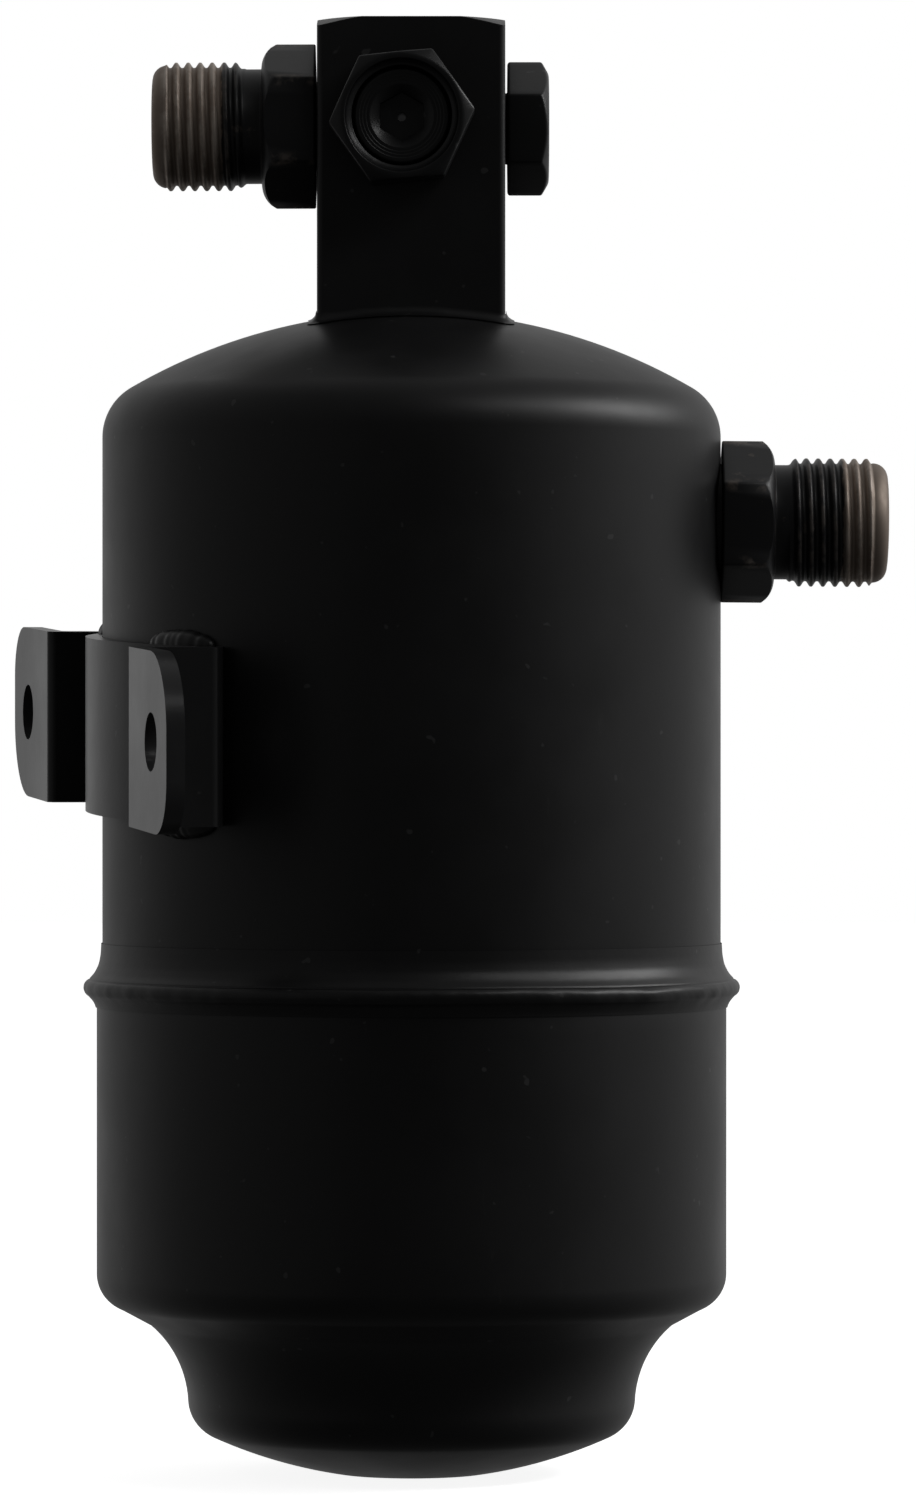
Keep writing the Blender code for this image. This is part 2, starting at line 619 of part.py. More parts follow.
def relief_adjuster(frame):
    """Set screw that loads the spring. The valve vents through its middle."""
    radius = RELIEF_SCREW_BORE - GAP
    vent = POPPET_STEM_RADIUS + GAP
    outside = [(vent, ADJUSTER_LOW), (radius, ADJUSTER_LOW),
               (radius, ADJUSTER_HIGH - ADJUSTER_EDGE), (radius - ADJUSTER_EDGE, ADJUSTER_HIGH)]
    socket_floor = ADJUSTER_HIGH - ADJUSTER_SOCKET_DEPTH
    levels = [circle_ring(*point) for point in outside]
    levels += [hexagon_ring(ADJUSTER_SOCKET_FLATS, ADJUSTER_HIGH, turn=30.0),
               hexagon_ring(ADJUSTER_SOCKET_FLATS, socket_floor, turn=30.0),
               circle_ring(vent, socket_floor)]
    add_stacked("relief_adjuster", levels, black_paint("adjuster_paint"), frame)


def relief_poppet(frame):
    low = RELIEF_CHAMBER_LOW + GAP
    disc = RELIEF_CHAMBER_RADIUS - GAP
    top = low + POPPET_DISC
    stem_top = ADJUSTER_LOW + POPPET_STEM_REACH
    profile = [(0.0, low), (disc, low), (disc, top), (POPPET_STEM_RADIUS, top),
               (POPPET_STEM_RADIUS, stem_top), (0.0, stem_top)]
    add_turned("relief_poppet", profile, SMALL_STEPS, bare_steel("poppet_steel"), frame)


def coil_spring(name, radius, wire, low, high, turns, points_per_turn, material, frame=None):
    """A round-wire compression spring along Z whose outermost wire surfaces are at low and high."""
    count = int(turns * points_per_turn)
    sections = []
    for i in range(count + 1):
        angle = math.tau * turns * i / count
        height = low + wire + (high - low - 2 * wire) * i / count
        section = circle_outline((radius, height), wire, 6)
        sections.append([(r * math.cos(angle), r * math.sin(angle), z) for r, z in section])
    add_object(name, swept_mesh(name, sections, closed=False), material, frame)


# ---- inside the can ---------------------------------------------------------------------------
def pickup_tube():
    profile = ring_profile(TUBE_BORE, TUBE_RADIUS, TUBE_LOW_Z, TUBE_HIGH_Z)
    add_turned("pickup_tube", profile, SMALL_STEPS, bare_steel("pickup_tube_steel"))


def pickup_strainer():
    """A slotted cup over the foot of the pickup tube."""
    inner = STRAINER_RADIUS - STRAINER_WALL
    grip = TUBE_RADIUS + GAP
    low, high = STRAINER_LOW_Z, STRAINER_HIGH_Z
    profile = [(0.0, low), (STRAINER_RADIUS, low), (STRAINER_RADIUS, high), (grip, high),
               (grip, high - STRAINER_WALL), (inner, high - STRAINER_WALL),
               (inner, low + STRAINER_WALL), (0.0, low + STRAINER_WALL)]
    brass = make_material("strainer_brass", (0.6, 0.45, 0.2), 0.35, 1.0)
    strainer = add_turned("pickup_strainer", profile, SMALL_STEPS, brass)
    reach = STRAINER_RADIUS + OVERCUT
    wide = STRAINER_SLOT_WIDTH / 2
    outline = [(-reach, -wide), (reach, -wide), (reach, wide), (-reach, wide)]
    for i in range(STRAINER_SLOTS):
        name = f"strainer_slot_{i + 1}"
        mesh = prism_mesh(name, outline, low + STRAINER_SLOT_LOW, high - STRAINER_SLOT_HIGH)
        slot = add_object(name, mesh, None)
        slot.rotation_euler = (0, 0, math.radians(9 + 180 / STRAINER_SLOTS * i))
        combine(strainer, slot, "DIFFERENCE")


def perforated_plate(name, radius, low, collar):
    """A steel disc that the liquid passes through, with a sliding collar on the upper one."""
    inner = TUBE_RADIUS + GAP
    high = low + PLATE_THICKNESS
    profile = [(inner, low), (radius, low), (radius, high)]
    if collar:
        top = high + PLATE_COLLAR_HEIGHT
        profile += [(PLATE_COLLAR_RADIUS, high), (PLATE_COLLAR_RADIUS, top), (inner, top)]
    else:
        profile += [(inner, high)]
    plate = add_turned(name, profile, PACK_STEPS, bare_steel(name + "_steel"))
    for row, (count, pitch_radius) in enumerate(PLATE_HOLES):
        for i in range(count):
            angle = math.tau * (i + 0.37) / count
            label = f"{name}_hole_{row + 1}_{i + 1}"
            centre = (pitch_radius * math.cos(angle), pitch_radius * math.sin(angle))
            outline = circle_outline(centre, PLATE_HOLE_RADIUS, 6, turn=11.0)
            hole = prism_mesh(label, outline, low - OVERCUT, high + OVERCUT)
            combine(plate, add_object(label, hole, None), "DIFFERENCE")


def desiccant_pack():
    """Filter pad, desiccant bed and filter pad between the two plates."""
    inner = TUBE_RADIUS + GAP
    felt_colour = (0.72, 0.70, 0.62)
    pads = {"lower_filter_pad": LOWER_PLATE_Z + PLATE_THICKNESS + GAP,
            "upper_filter_pad": UPPER_PLATE_Z - GAP - PAD_THICKNESS}
    for name, low in pads.items():
        felt = make_material(name + "_felt", felt_colour, 0.9, 0.0)
        add_turned(name, ring_profile(inner, PACK_RADIUS, low, low + PAD_THICKNESS), PACK_STEPS, felt)
    bed_low = pads["lower_filter_pad"] + PAD_THICKNESS + GAP
    bed_high = pads["upper_filter_pad"] - GAP
    beads = make_material("desiccant_beads", (0.62, 0.50, 0.36), 0.8, 0.0)
    add_turned("desiccant_bed", ring_profile(inner, PACK_RADIUS, bed_low, bed_high), PACK_STEPS, beads)


def can_internals():
    pickup_tube()
    pickup_strainer()
    perforated_plate("lower_retainer_plate", LOWER_PLATE_RADIUS, LOWER_PLATE_Z, collar=False)
    perforated_plate("upper_retainer_plate", UPPER_PLATE_RADIUS, UPPER_PLATE_Z, collar=True)
    desiccant_pack()
    coil_spring("pack_spring", PACK_SPRING_RADIUS, PACK_WIRE_RADIUS,
                UPPER_PLATE_Z + PLATE_THICKNESS + GAP, PACK_SPRING_TOP_Z, PACK_SPRING_TURNS, 12,
                bare_steel("pack_spring_steel"))


# ---- mounting bracket, in a frame whose X points out of the can and Y along the ears ----------
def bracket_half_outline():
    """Outline of half the bent strip as (out, along) points, from the middle's outer face round
    the ear to the middle's inner face."""
    inner = UPPER_RADIUS + GAP
    outer = inner + SADDLE_THICKNESS
    back = WEB_FACE + STRIP_THICKNESS
    root = math.degrees(math.asin((WEB_FACE - BEND_RADIUS) / outer))
    points = arc((0, 0), outer, 0.0, root, 6)
    foot = math.sqrt(outer ** 2 - WEB_FACE ** 2) + BEND_RADIUS
    points += [(foot, WEB_FACE)]
    points += arc((EAR_PLANE - BEND_RADIUS, WEB_FACE + BEND_RADIUS), BEND_RADIUS, -90, 0, 3)
    points += [(EAR_PLANE, EAR_TIP), (EAR_PLANE - STRIP_THICKNESS, EAR_TIP)]
    points += [(EAR_PLANE - STRIP_THICKNESS, back + BEND_INSIDE),
               (EAR_PLANE - STRIP_THICKNESS - BEND_INSIDE, back)]
    points += arc((FOOT_OUT, back - FOOT_ROUND), FOOT_ROUND, 90.0, 160.0, 3)
    points += arc((0, 0), inner, math.degrees(math.asin(SADDLE_HALF / inner)), 0.0, 6)
    return points


def mounting_bracket(frame):
    half = bracket_half_outline()
    outline = half[:-1] + [(out, -along) for out, along in reversed(half)][:-1]
    height = STRIP_HEIGHT / 2
    strip = prism_mesh("mounting_bracket", outline, -height, height, smooth=True)
    bracket = add_object("mounting_bracket", strip, black_paint("bracket_paint"), frame)
    shear = Matrix.Identity(4)
    shear[2][1] = -math.tan(math.radians(BRACKET_CANT))
    strip.transform(shear)

    radii = [EAR_LARGE_ROUND, EAR_SMALL_ROUND, EAR_LARGE_ROUND, EAR_SMALL_ROUND]
    front = rounded_rectangle((-EAR_TIP, -height), (EAR_TIP, height), radii, 6)
    # The outline is drawn in the (along, up) plane, then stood up to point along the frame's X.
    blank = prism_mesh("bracket_blank", front, EAR_CUT_LOW, EAR_CUT_HIGH)
    stand = Matrix(((0, 0, 1, 0), (1, 0, 0, 0), (0, 1, 0, 0), (0, 0, 0, 1)))
    blank.transform(shear @ stand)
    combine(bracket, add_object("bracket_blank", blank, None, frame), "INTERSECT")

    for name, side in (("near_bolt_hole", 1), ("far_bolt_hole", -1)):
        along = side * BOLT_HOLE_OFFSET
        up = -along * math.tan(math.radians(BRACKET_CANT))
        outline = circle_outline((along, up), BOLT_HOLE_RADIUS, FITTING_STEPS)
        hole = prism_mesh(name, outline, HOLE_CUT_LOW, EAR_CUT_HIGH)
        hole.transform(stand)
        combine(bracket, add_object(name, hole, None, frame), "DIFFERENCE")


def bracket_tacks(frame):
    """Four short fillet welds, above and below the saddle beside each web."""
    inner = UPPER_RADIUS + GAP
    slope = math.tan(math.radians(BRACKET_CANT))
    for level, up in (("top", 1), ("bottom", -1)):
        for place, side in (("near", 1), ("far", -1)):
            sections = []
            for i in range(6):
                angle = math.radians(side * (TACK_START + (TACK_END - TACK_START) * i / 5))
                x, y = math.cos(angle), math.sin(angle)
                edge = up * (STRIP_HEIGHT / 2 + GAP) - slope * inner * y
                out = inner + TACK_LEG
                sections.append([(inner * x, inner * y, edge), (out * x, out * y, edge),
                                 (inner * x, inner * y, edge + up * TACK_LEG)])
            name = f"bracket_weld_{level}_{place}"
            add_object(name, swept_mesh(name, sections, closed=False), black_paint(name + "_paint"),
                       frame)


def relief_valve(frame):
    relief_valve_body(frame)
    seal_ring("relief_valve_seal", PORT_STUB_RADIUS, frame)
    relief_adjuster(frame)
    relief_poppet(frame)
    coil_spring("relief_spring", RELIEF_SPRING_RADIUS, RELIEF_WIRE_RADIUS,
                RELIEF_CHAMBER_LOW + POPPET_DISC + 2 * GAP, ADJUSTER_LOW - GAP, RELIEF_SPRING_TURNS, 12,
                bare_steel("relief_spring_steel"), frame)


def main():
    clear_scene()
    half = BLOCK_SIDE / 2
    quarter = math.pi / 2
    outlet_tilt = quarter + math.radians(OUTLET_DROOP)
    inlet_tilt = quarter + math.radians(INLET_DROOP)
    outlet_frame = add_frame("outlet_frame", (-half, 0, PORT_Z), (0, -outlet_tilt, 0))
    blank_frame = add_frame("blank_frame", (half, 0, PLUG_Z), (0, quarter, 0))
    relief_frame = add_frame("relief_frame", (RELIEF_X, -half, PORT_Z), (quarter, 0, 0))
    inlet_frame = add_frame("inlet_frame", (UPPER_RADIUS, 0, INLET_Z), (0, inlet_tilt, 0))
    bracket_frame = add_frame("bracket_frame", (0, 0, BRACKET_Z),
                              (0, 0, math.pi + math.radians(BRACKET_TURN)))

    lower_shell()
    upper_shell(inlet_frame)
    girth_weld()
    head_block(outlet_frame, blank_frame, relief_frame)
    block_weld()
    threaded_fitting("outlet_fitting", outlet_frame, (PORT_STUB_RADIUS, OUTLET_STUB),
                     (OUTLET_HEX_FLATS, OUTLET_HEX_TURN),
                     (GAP, OUTLET_HEX_END, OUTLET_NECK_END, OUTLET_END))
    seal_ring("outlet_seal", PORT_STUB_RADIUS, outlet_frame)
    threaded_fitting("inlet_fitting", inlet_frame, (INLET_PILOT_RADIUS, INLET_STUB),
                     (INLET_HEX_FLATS, INLET_HEX_TURN),
                     (INLET_HEX_START, INLET_HEX_END, INLET_NECK_END, INLET_END))
    inlet_braze()
    blanking_plug(blank_frame)
    seal_ring("blanking_plug_seal", PLUG_STUB_RADIUS, blank_frame)
    relief_valve(relief_frame)
    can_internals()
    mounting_bracket(bracket_frame)
    bracket_tacks(bracket_frame)


main()
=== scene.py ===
import math
from collections import namedtuple
from functools import reduce

import bmesh
import bpy
from mathutils import Matrix, Vector, noise


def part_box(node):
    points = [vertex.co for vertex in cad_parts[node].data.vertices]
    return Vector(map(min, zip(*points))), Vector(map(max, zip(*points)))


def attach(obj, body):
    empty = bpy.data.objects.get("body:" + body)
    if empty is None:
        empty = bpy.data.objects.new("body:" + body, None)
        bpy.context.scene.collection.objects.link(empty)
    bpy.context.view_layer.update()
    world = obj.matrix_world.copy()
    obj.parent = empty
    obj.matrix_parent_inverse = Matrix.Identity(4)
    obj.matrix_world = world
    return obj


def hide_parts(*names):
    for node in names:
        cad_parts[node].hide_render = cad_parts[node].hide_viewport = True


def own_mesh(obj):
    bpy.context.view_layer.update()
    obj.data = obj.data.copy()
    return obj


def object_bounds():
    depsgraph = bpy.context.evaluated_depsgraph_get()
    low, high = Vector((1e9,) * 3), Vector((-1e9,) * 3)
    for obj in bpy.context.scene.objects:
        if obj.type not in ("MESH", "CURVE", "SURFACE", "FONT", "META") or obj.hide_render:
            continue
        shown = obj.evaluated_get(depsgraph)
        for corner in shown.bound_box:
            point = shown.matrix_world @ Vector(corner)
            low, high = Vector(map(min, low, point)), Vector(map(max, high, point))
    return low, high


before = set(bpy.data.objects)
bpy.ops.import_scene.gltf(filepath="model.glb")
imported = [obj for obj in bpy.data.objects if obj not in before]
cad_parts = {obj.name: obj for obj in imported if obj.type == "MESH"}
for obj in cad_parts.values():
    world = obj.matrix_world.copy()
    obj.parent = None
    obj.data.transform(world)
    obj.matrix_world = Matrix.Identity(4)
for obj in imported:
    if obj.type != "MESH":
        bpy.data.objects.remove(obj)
CAD_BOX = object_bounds()

# ---- fits, in metres ----
GAP = 0.0003               # clearance between pieces that touch, as in the frame
WALL = 0.0018              # sheet of both shells
OVERCUT = 0.0010           # how far a cutter runs past the face that it cuts

# ---- the can ----
UPPER_LOW, UPPER_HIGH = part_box("upper_shell")
UPPER_RADIUS = UPPER_HIGH.x
DOME_TOP_Z = 0.1436
CROWN_RADIUS = 0.0690
CROWN_KNUCKLE = 0.0070
DOME_HOLE_RADIUS = 0.0067
JOGGLE_LOW_Z = 0.0600
JOGGLE_HIGH_Z = 0.0620
LOWER_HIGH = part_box("lower_shell")[1]
LOWER_RADIUS = LOWER_HIGH.x
LOWER_RIM_Z = LOWER_HIGH.z
BASE_FLAT_RADIUS = 0.0098
DISH_RADIUS = 0.0600
SUMP_RADIUS = 0.0277
SUMP_KNUCKLE = 0.0050
FLARE_RADIUS = 0.01345
FLARE_ANGLES = (177.0, 130.2)
FLARE_CENTRE = (0.04112, 0.00813)
SHOULDER_RADIUS = 0.0045
SHOULDER_Z = 0.0246
SHOULDER_START = -69.0
WELD_LOW, WELD_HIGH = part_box("girth_weld")
WELD_FLARE = ((0.0, 0.0655), (0.00007, 0.0641), (0.0003, 0.0629), (0.00085, 0.0618))  # (out, z)
WELD_FOOT = ((0.00035, 0.0584), (0.00008, 0.0579))
WELD_CREASE_Z = 0.06095    # between the flare and the bead's roll
WELD_ROLL = 0.00115
WELD_ROLL_Z = 0.0600
WELD_LAP_AT = 316.0        # degrees round from +X, where the weld's end lies over its start
WELD_RIPPLES = 168

# ---- fineness ----
CAN_COLUMNS = 240
WELD_COLUMNS = 480
BLOCK_COLUMNS = 144
TURNED_COLUMNS = 96
BORE_COLUMNS = 48
SHARP_TURNED = 55.0        # degrees between faces, beyond which an edge stays sharp
SHARP_MACHINED = 50.0
SHARP_PRISM = 30.0
SHARP_BEVELLED = 60.0

# ---- head block ----
BLOCK_LOW, BLOCK_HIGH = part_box("head_block")
BLOCK_HALF = BLOCK_HIGH.x
BLOCK_TOP_Z = BLOCK_HIGH.z
BLOCK_CORNER = 0.0008
BLOCK_EDGE = 0.00030
BLOCK_SUNK = 0.0050        # milled bar below the dome's top, before its seat is cut
BLOCK_FILLET = 0.0010
BLOCK_CHAMFER_RADIUS = 0.0130
BLOCK_CHAMFER_SLOPE = 20.0
CORNER_REACH = 0.0180      # further out than the block's corners
SPIGOT_RADIUS = 0.0064
SPIGOT_ROOT_Z = 0.1500
RISER_TOP_Z = 0.1652
RISER_RADIUS = 0.0032
TUBE_HOLE = 0.0043
# bore radius and depth, seal seat radius and depth, gallery radius and depth
OUTLET_PORT = (0.0055, 0.0050, 0.0074, 0.0019, 0.0030, 0.0131)
BLANK_PORT = (0.0047, 0.0050, 0.0066, 0.0019, 0.0026, 0.0107)
RELIEF_PORT = (0.0055, 0.0051, 0.0074, 0.0019, 0.0016, 0.0100)
PORT_STUB_RADIUS = 0.0052

# ---- threads and connectors: lengths run from the seat ----
THREAD_PITCH = 0.001485
CREST_RADIUS = 0.00795
ROOT_RADIUS = 0.00730
NECK_RADIUS = 0.00709
CREST_SHARE = 0.09         # half width of the flat crest, in turns
FLANK_SHARE = 0.42         # from the crest's middle to the flank's foot
FLANK_STRAIGHT = 0.55      # the rest of the flank's fall is eased
NOSE_STEP = 0.35           # the thread's step down to its plain nose, in turns
NOSE_ARC = 0.0018          # rounds the thread's outer end
ROWS_PER_TURN = 14
FITTING_BORE = 0.0042
FITTING_MOUTH = 0.0056
MOUTH_DEPTH = 0.0014
HEX_CHAMFER = 30.0
HEX_FACE_RADIUS = 0.0073
HEX_DOME = 0.0032
HEX_FILLET = 0.0004
HEX_EDGE = 0.00025
CORNER_SPREAD = 1.3        # degrees either side of a hexagon's corner that get close columns
DOME_STEPS = 7
SOFT_EDGE = 0.00016        # how far a painted machined edge is rounded, either side
Connector = namedtuple("Connector", "flats turn hex_start hex_end neck_end run_out stub_radius stub "
                                    "tip_radius tip_length crest_at end bare_from")
OUTLET = Connector(flats=0.0178, turn=1.5, hex_start=GAP, hex_end=0.0070, neck_end=0.0089, run_out=0.9,
                   stub_radius=PORT_STUB_RADIUS, stub=0.0046, tip_radius=0.0076, tip_length=0.0017,
                   crest_at=0.01908, end=0.0205, bare_from=0.0118)
INLET = Connector(flats=0.01745, turn=3.3, hex_start=0.00005, hex_end=0.0066, neck_end=0.0082,
                  run_out=0.7, stub_radius=0.0072, stub=0.0050, tip_radius=0.0074, tip_length=0.0020,
                  crest_at=0.01869, end=0.0206, bare_from=0.0149)
OUTLET_LIFT = 0.0001       # above the relief valve's axis
OUTLET_DROOP = 0.2         # degrees
INLET_DROOP = 0.5
INLET_Z = 0.1177

# ---- plug and relief valve ----
PLUG_FLATS = 0.0144
PLUG_TURN = 4.0
PLUG_FACE_RADIUS = 0.0067
PLUG_STUB_RADIUS = 0.0044
PLUG_STUB = 0.0046
PLUG_LEAD = 0.0005
RELIEF_FLATS = 0.0155
RELIEF_TURN = 5.4
RELIEF_FACE_RADIUS = 0.0075
RELIEF_MOUTH_RADIUS = 0.00695
RELIEF_BORE = 0.0061
RELIEF_MOUTH = ((0.00675, 0.00045), (0.0064, 0.0008), (RELIEF_BORE, 0.00095))  # (radius, depth)
RELIEF_CHAMBER = 0.0034
RELIEF_CHAMBER_LOW = -0.0036
RELIEF_SEAT = 0.0015
RELIEF_STUB = 0.0048
ADJUSTER_LOW = 0.0016
ADJUSTER_HIGH = 0.0063
ADJUSTER_VENT = 0.0005
ADJUSTER_GUIDE = 0.0013    # room for the poppet's stem
ADJUSTER_GUIDE_TOP = 0.0036
ADJUSTER_RIM = 0.00035
ADJUSTER_TURN = 30.0
TOOL_STEPS_AT = 0.0052     # turned steps on the screw's face
TOOL_STEP = 0.0004
TOOL_STEP_DEPTH = 0.00005
SOCKET_FLATS = 0.0052
SOCKET_SINK = 0.0039
SOCKET_SLOPE = 0.75
SOCKET_DEPTH = 0.0023
SEAL_WIRE = 0.00075
SEAL_GAP = 0.00035
SEAL_DEPTH = 0.00085

# ---- bracket: out from the can's axis, along the strip ----
SADDLE_CLEARANCE = 0.00005
SADDLE_THICKNESS = 0.00205
SADDLE_HALF = 0.0246
SADDLE_TOE = 0.0312
STRIP_THICKNESS = 0.00225
STRIP_HEIGHT = 0.0215
STRIP_EDGE = 0.00030
BEND_INSIDE = 0.0010
BEND_OUTSIDE = 0.0018
WEB_FACE = 0.0248
EAR_PLANE = 0.0410
EAR_TIP = 0.0475
EAR_CORNER_BIG = 0.0092
EAR_CORNER_SMALL = 0.0065
EAR_CUT_LOW = 0.0200
EAR_CUT_HIGH = 0.0500
HOLE_CUT_LOW = 0.0300
BOLT_HOLE_OFFSET = 0.0385
BOLT_HOLE_RADIUS = 0.0035
BRACKET_CANT = 2.9
BRACKET_TURN = 14.0
TACK_ANGLES = (22.0, 38.5)
TACK_LEG = 0.0018
TACK_STEPS = 44
TACK_INSET = 0.0006

# ---- springs ----
PACK_SPRING_TURNS = 5.5
PACK_SPRING_WIRE = 0.0010
RELIEF_SPRING_TURNS = 3.0
RELIEF_SPRING_WIRE = 0.00030
END_TURN_SLOPE = 0.35      # of the free turns' slope
END_TURN = 0.55            # turns

# ---- camera and light ----
CAMERA_AT = (0.00575, -0.950, 0.0894)
CAMERA_LENS = 183.9
CAN_MIDDLE_Z = 0.09
WORLD_FRONT = 0.045
WORLD_BACK = 0.62
WORLD_FALLOFF = 1.85       # power by which the light fades round to the front
WORLD_RIGHT = 0.65         # how much slower it fades on the right
WORLD_BELOW = 1.2          # how fast it fades under the horizon
FLOOR_HALF = 3.0
FLOOR_SINK = 0.0001
FLOOR_GREY = 0.85
FLOOR_GLOW = 0.90

# ---- colours ----
DUST_GREY = (0.10, 0.10, 0.10)
SCUFF_GREY = (0.055, 0.052, 0.050)
FITTING_BLACK = (0.009, 0.009, 0.010)
# painted shade: a darker steel colour given to the bare thread's roots
STEEL_ROOT_SHADE = (0.30, 0.245, 0.205)
STEEL_DARK = (0.34, 0.28, 0.235)
STEEL_LIGHT = (0.50, 0.435, 0.38)

# ---- surface patterns: noise scales per metre ----
CLOUD_SCALE = 45.0
DUST_SCALE = 620.0
STREAK_SCALE = 260.0
PATCH_SCALE = 38.0
PEEL_SCALE = 260.0
FINE_PEEL_SCALE = 1500.0
RAGGED_SCALE = 420.0
CHIP_SCALE = 330.0
BLOTCH_SCALE = 520.0
TURNING_SCALE = 2600.0
METAL_CLOUD_SCALE = 120.0
METAL_MARK_SCALE = 1800.0


# ==== places ====
def middle_of(node):
    low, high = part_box(node)
    return (low + high) / 2


def facing(seat, axis, degrees):
    """A place at a seat whose Z is turned from straight up, about a world axis."""
    return Matrix.Translation(seat) @ Matrix.Rotation(math.radians(degrees), 4, axis)


PORT_Z = middle_of("relief_valve_body").z
OUTLET_PLACE = facing((-BLOCK_HALF, 0, PORT_Z + OUTLET_LIFT), "Y", -90.0 - OUTLET_DROOP)
INLET_PLACE = facing((UPPER_RADIUS, 0, INLET_Z), "Y", 90.0 + INLET_DROOP)
BLANK_PLACE = facing((BLOCK_HALF, 0, middle_of("blanking_plug").z), "Y", 90.0)
RELIEF_PLACE = facing((middle_of("relief_valve_body").x, -BLOCK_HALF, PORT_Z), "X", 90.0)
BRACKET_PLACE = facing((0, 0, middle_of("mounting_bracket").z), "Z", 180.0 + BRACKET_TURN)
PLUG_HEAD_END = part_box("blanking_plug")[1].x - BLOCK_HALF
RELIEF_HEAD_END = -BLOCK_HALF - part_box("relief_valve_body")[0].y


# ==== materials ====
def new_material(name):
    """A node material with one Principled shader, and the object's own coordinates."""
    material = bpy.data.materials.new(name)
    material.use_nodes = True
    tree = material.node_tree
    shader = tree.nodes["Principled BSDF"]
    place = tree.nodes.new("ShaderNodeTexCoord").outputs["Object"]
    return material, tree, shader, place


def add_noise(tree, place, scale, detail=3.0, roughness=0.5, stretch=None):
    """Noise of a given scale per metre. stretch scales the place along each axis first."""
    if stretch:
        mapping = tree.nodes.new("ShaderNodeMapping")
        mapping.inputs["Scale"].default_value = stretch
        tree.links.new(place, mapping.inputs["Vector"])
        place = mapping.outputs["Vector"]
    texture = tree.nodes.new("ShaderNodeTexNoise")
    texture.inputs["Scale"].default_value = scale
    texture.inputs["Detail"].default_value = detail
    texture.inputs["Roughness"].default_value = roughness
    tree.links.new(place, texture.inputs["Vector"])
    return texture.outputs["Fac"]


def add_range(tree, value, low, high, to_low=0.0, to_high=1.0):
    """Maps a value from low..high to to_low..to_high, with soft ends."""
    node = tree.nodes.new("ShaderNodeMapRange")
    node.interpolation_type = "SMOOTHSTEP"
    tree.links.new(value, node.inputs["Value"])
    limits = {"From Min": low, "From Max": high, "To Min": to_low, "To Max": to_high}
    for socket, number in limits.items():
        node.inputs[socket].default_value = number
    return node.outputs["Result"]


def feed(tree, socket, value):
    """Sets a socket to a number or a colour, or links another socket to it."""
    if isinstance(value, tuple):
        socket.default_value = (*value, 1.0)
    elif isinstance(value, (int, float)):
        socket.default_value = value
    else:
        tree.links.new(value, socket)


def add_math(tree, operation, first, second):
    node = tree.nodes.new("ShaderNodeMath")
    node.operation = operation
    feed(tree, node.inputs[0], first)
    feed(tree, node.inputs[1], second)
    return node.outputs["Value"]


def add_sum(tree, *terms):
    return reduce(lambda total, term: add_math(tree, "ADD", total, term), terms)


def add_product(tree, *factors):
    return reduce(lambda total, factor: add_math(tree, "MULTIPLY", total, factor), factors)


def add_mix(tree, kind, inputs, output, factor, first, second):
    node = tree.nodes.new("ShaderNodeMix")
    node.data_type = kind
    for number, value in zip(inputs, (factor, first, second)):
        feed(tree, node.inputs[number], value)
    return node.outputs[output]


def add_colour_mix(tree, factor, first, second):
    return add_mix(tree, "RGBA", (0, 6, 7), 2, factor, first, second)


def add_value_mix(tree, factor, first, second):
    return add_mix(tree, "FLOAT", (0, 2, 3), 0, factor, first, second)


def add_bumps(tree, shader, layers):
    """layers: (height socket, depth in metres, strength), the finest last."""
    previous = None
    for height, depth, strength in layers:
        bump = tree.nodes.new("ShaderNodeBump")
        bump.inputs["Distance"].default_value = depth
        bump.inputs["Strength"].default_value = strength
        tree.links.new(height, bump.inputs["Height"])
        if previous:
            tree.links.new(previous, bump.inputs["Normal"])
        previous = bump.outputs["Normal"]
    tree.links.new(previous, shader.inputs["Normal"])


def add_vector_math(tree, operation, first, second=None):
    node = tree.nodes.new("ShaderNodeVectorMath")
    node.operation = operation
    tree.links.new(first, node.inputs[0])
    if second is not None:
        node.inputs[1].default_value = second
    return node.outputs


def distance_from_axis(tree, place, origin, direction):
    """Distances (across the axis, along it) of a point from an axis through origin."""
    offset = add_vector_math(tree, "SUBTRACT", place, origin)["Vector"]
    across = add_vector_math(tree, "CROSS_PRODUCT", offset, direction)["Vector"]
    return (add_vector_math(tree, "LENGTH", across)["Value"],
            add_vector_math(tree, "DOT_PRODUCT", offset, direction)["Value"])


def black_paint(name, colour, roughness, peel=0.5, scuffs=0.0):
    """Black paint: orange peel, uneven gloss, specks of dust and, if asked for, pale scuffs."""
    material, tree, shader, place = new_material(name)
    cloud = add_noise(tree, place, CLOUD_SCALE, 4.0, 0.6)
    dust = add_range(tree, add_noise(tree, place, DUST_SCALE, 1.0), 0.745, 0.79)
    paler = tuple(channel * 1.45 for channel in colour)
    base = add_colour_mix(tree, add_range(tree, cloud, 0.35, 0.65), colour, paler)
    base = add_colour_mix(tree, add_product(tree, dust, 0.35), base, DUST_GREY)
    gloss = add_range(tree, cloud, 0.30, 0.70, roughness - 0.035, roughness + 0.035)
    if scuffs:
        streak = add_noise(tree, place, STREAK_SCALE, 5.0, 0.7, (1.0, 1.0, 0.22))
        patch = add_range(tree, add_noise(tree, place, PATCH_SCALE, 1.0), 0.60, 0.72)
        scuff = add_product(tree, add_range(tree, streak, 0.58, 0.72), patch, scuffs)
        base = add_colour_mix(tree, scuff, base, SCUFF_GREY)
        gloss = add_value_mix(tree, scuff, gloss, roughness + 0.15)
    tree.links.new(base, shader.inputs["Base Color"])
    tree.links.new(gloss, shader.inputs["Roughness"])
    add_bumps(tree, shader, [(add_noise(tree, place, PEEL_SCALE, 2.0), 0.00006, peel * 0.5),
                             (add_noise(tree, place, FINE_PEEL_SCALE, 2.0), 0.000012, peel)])
    return material


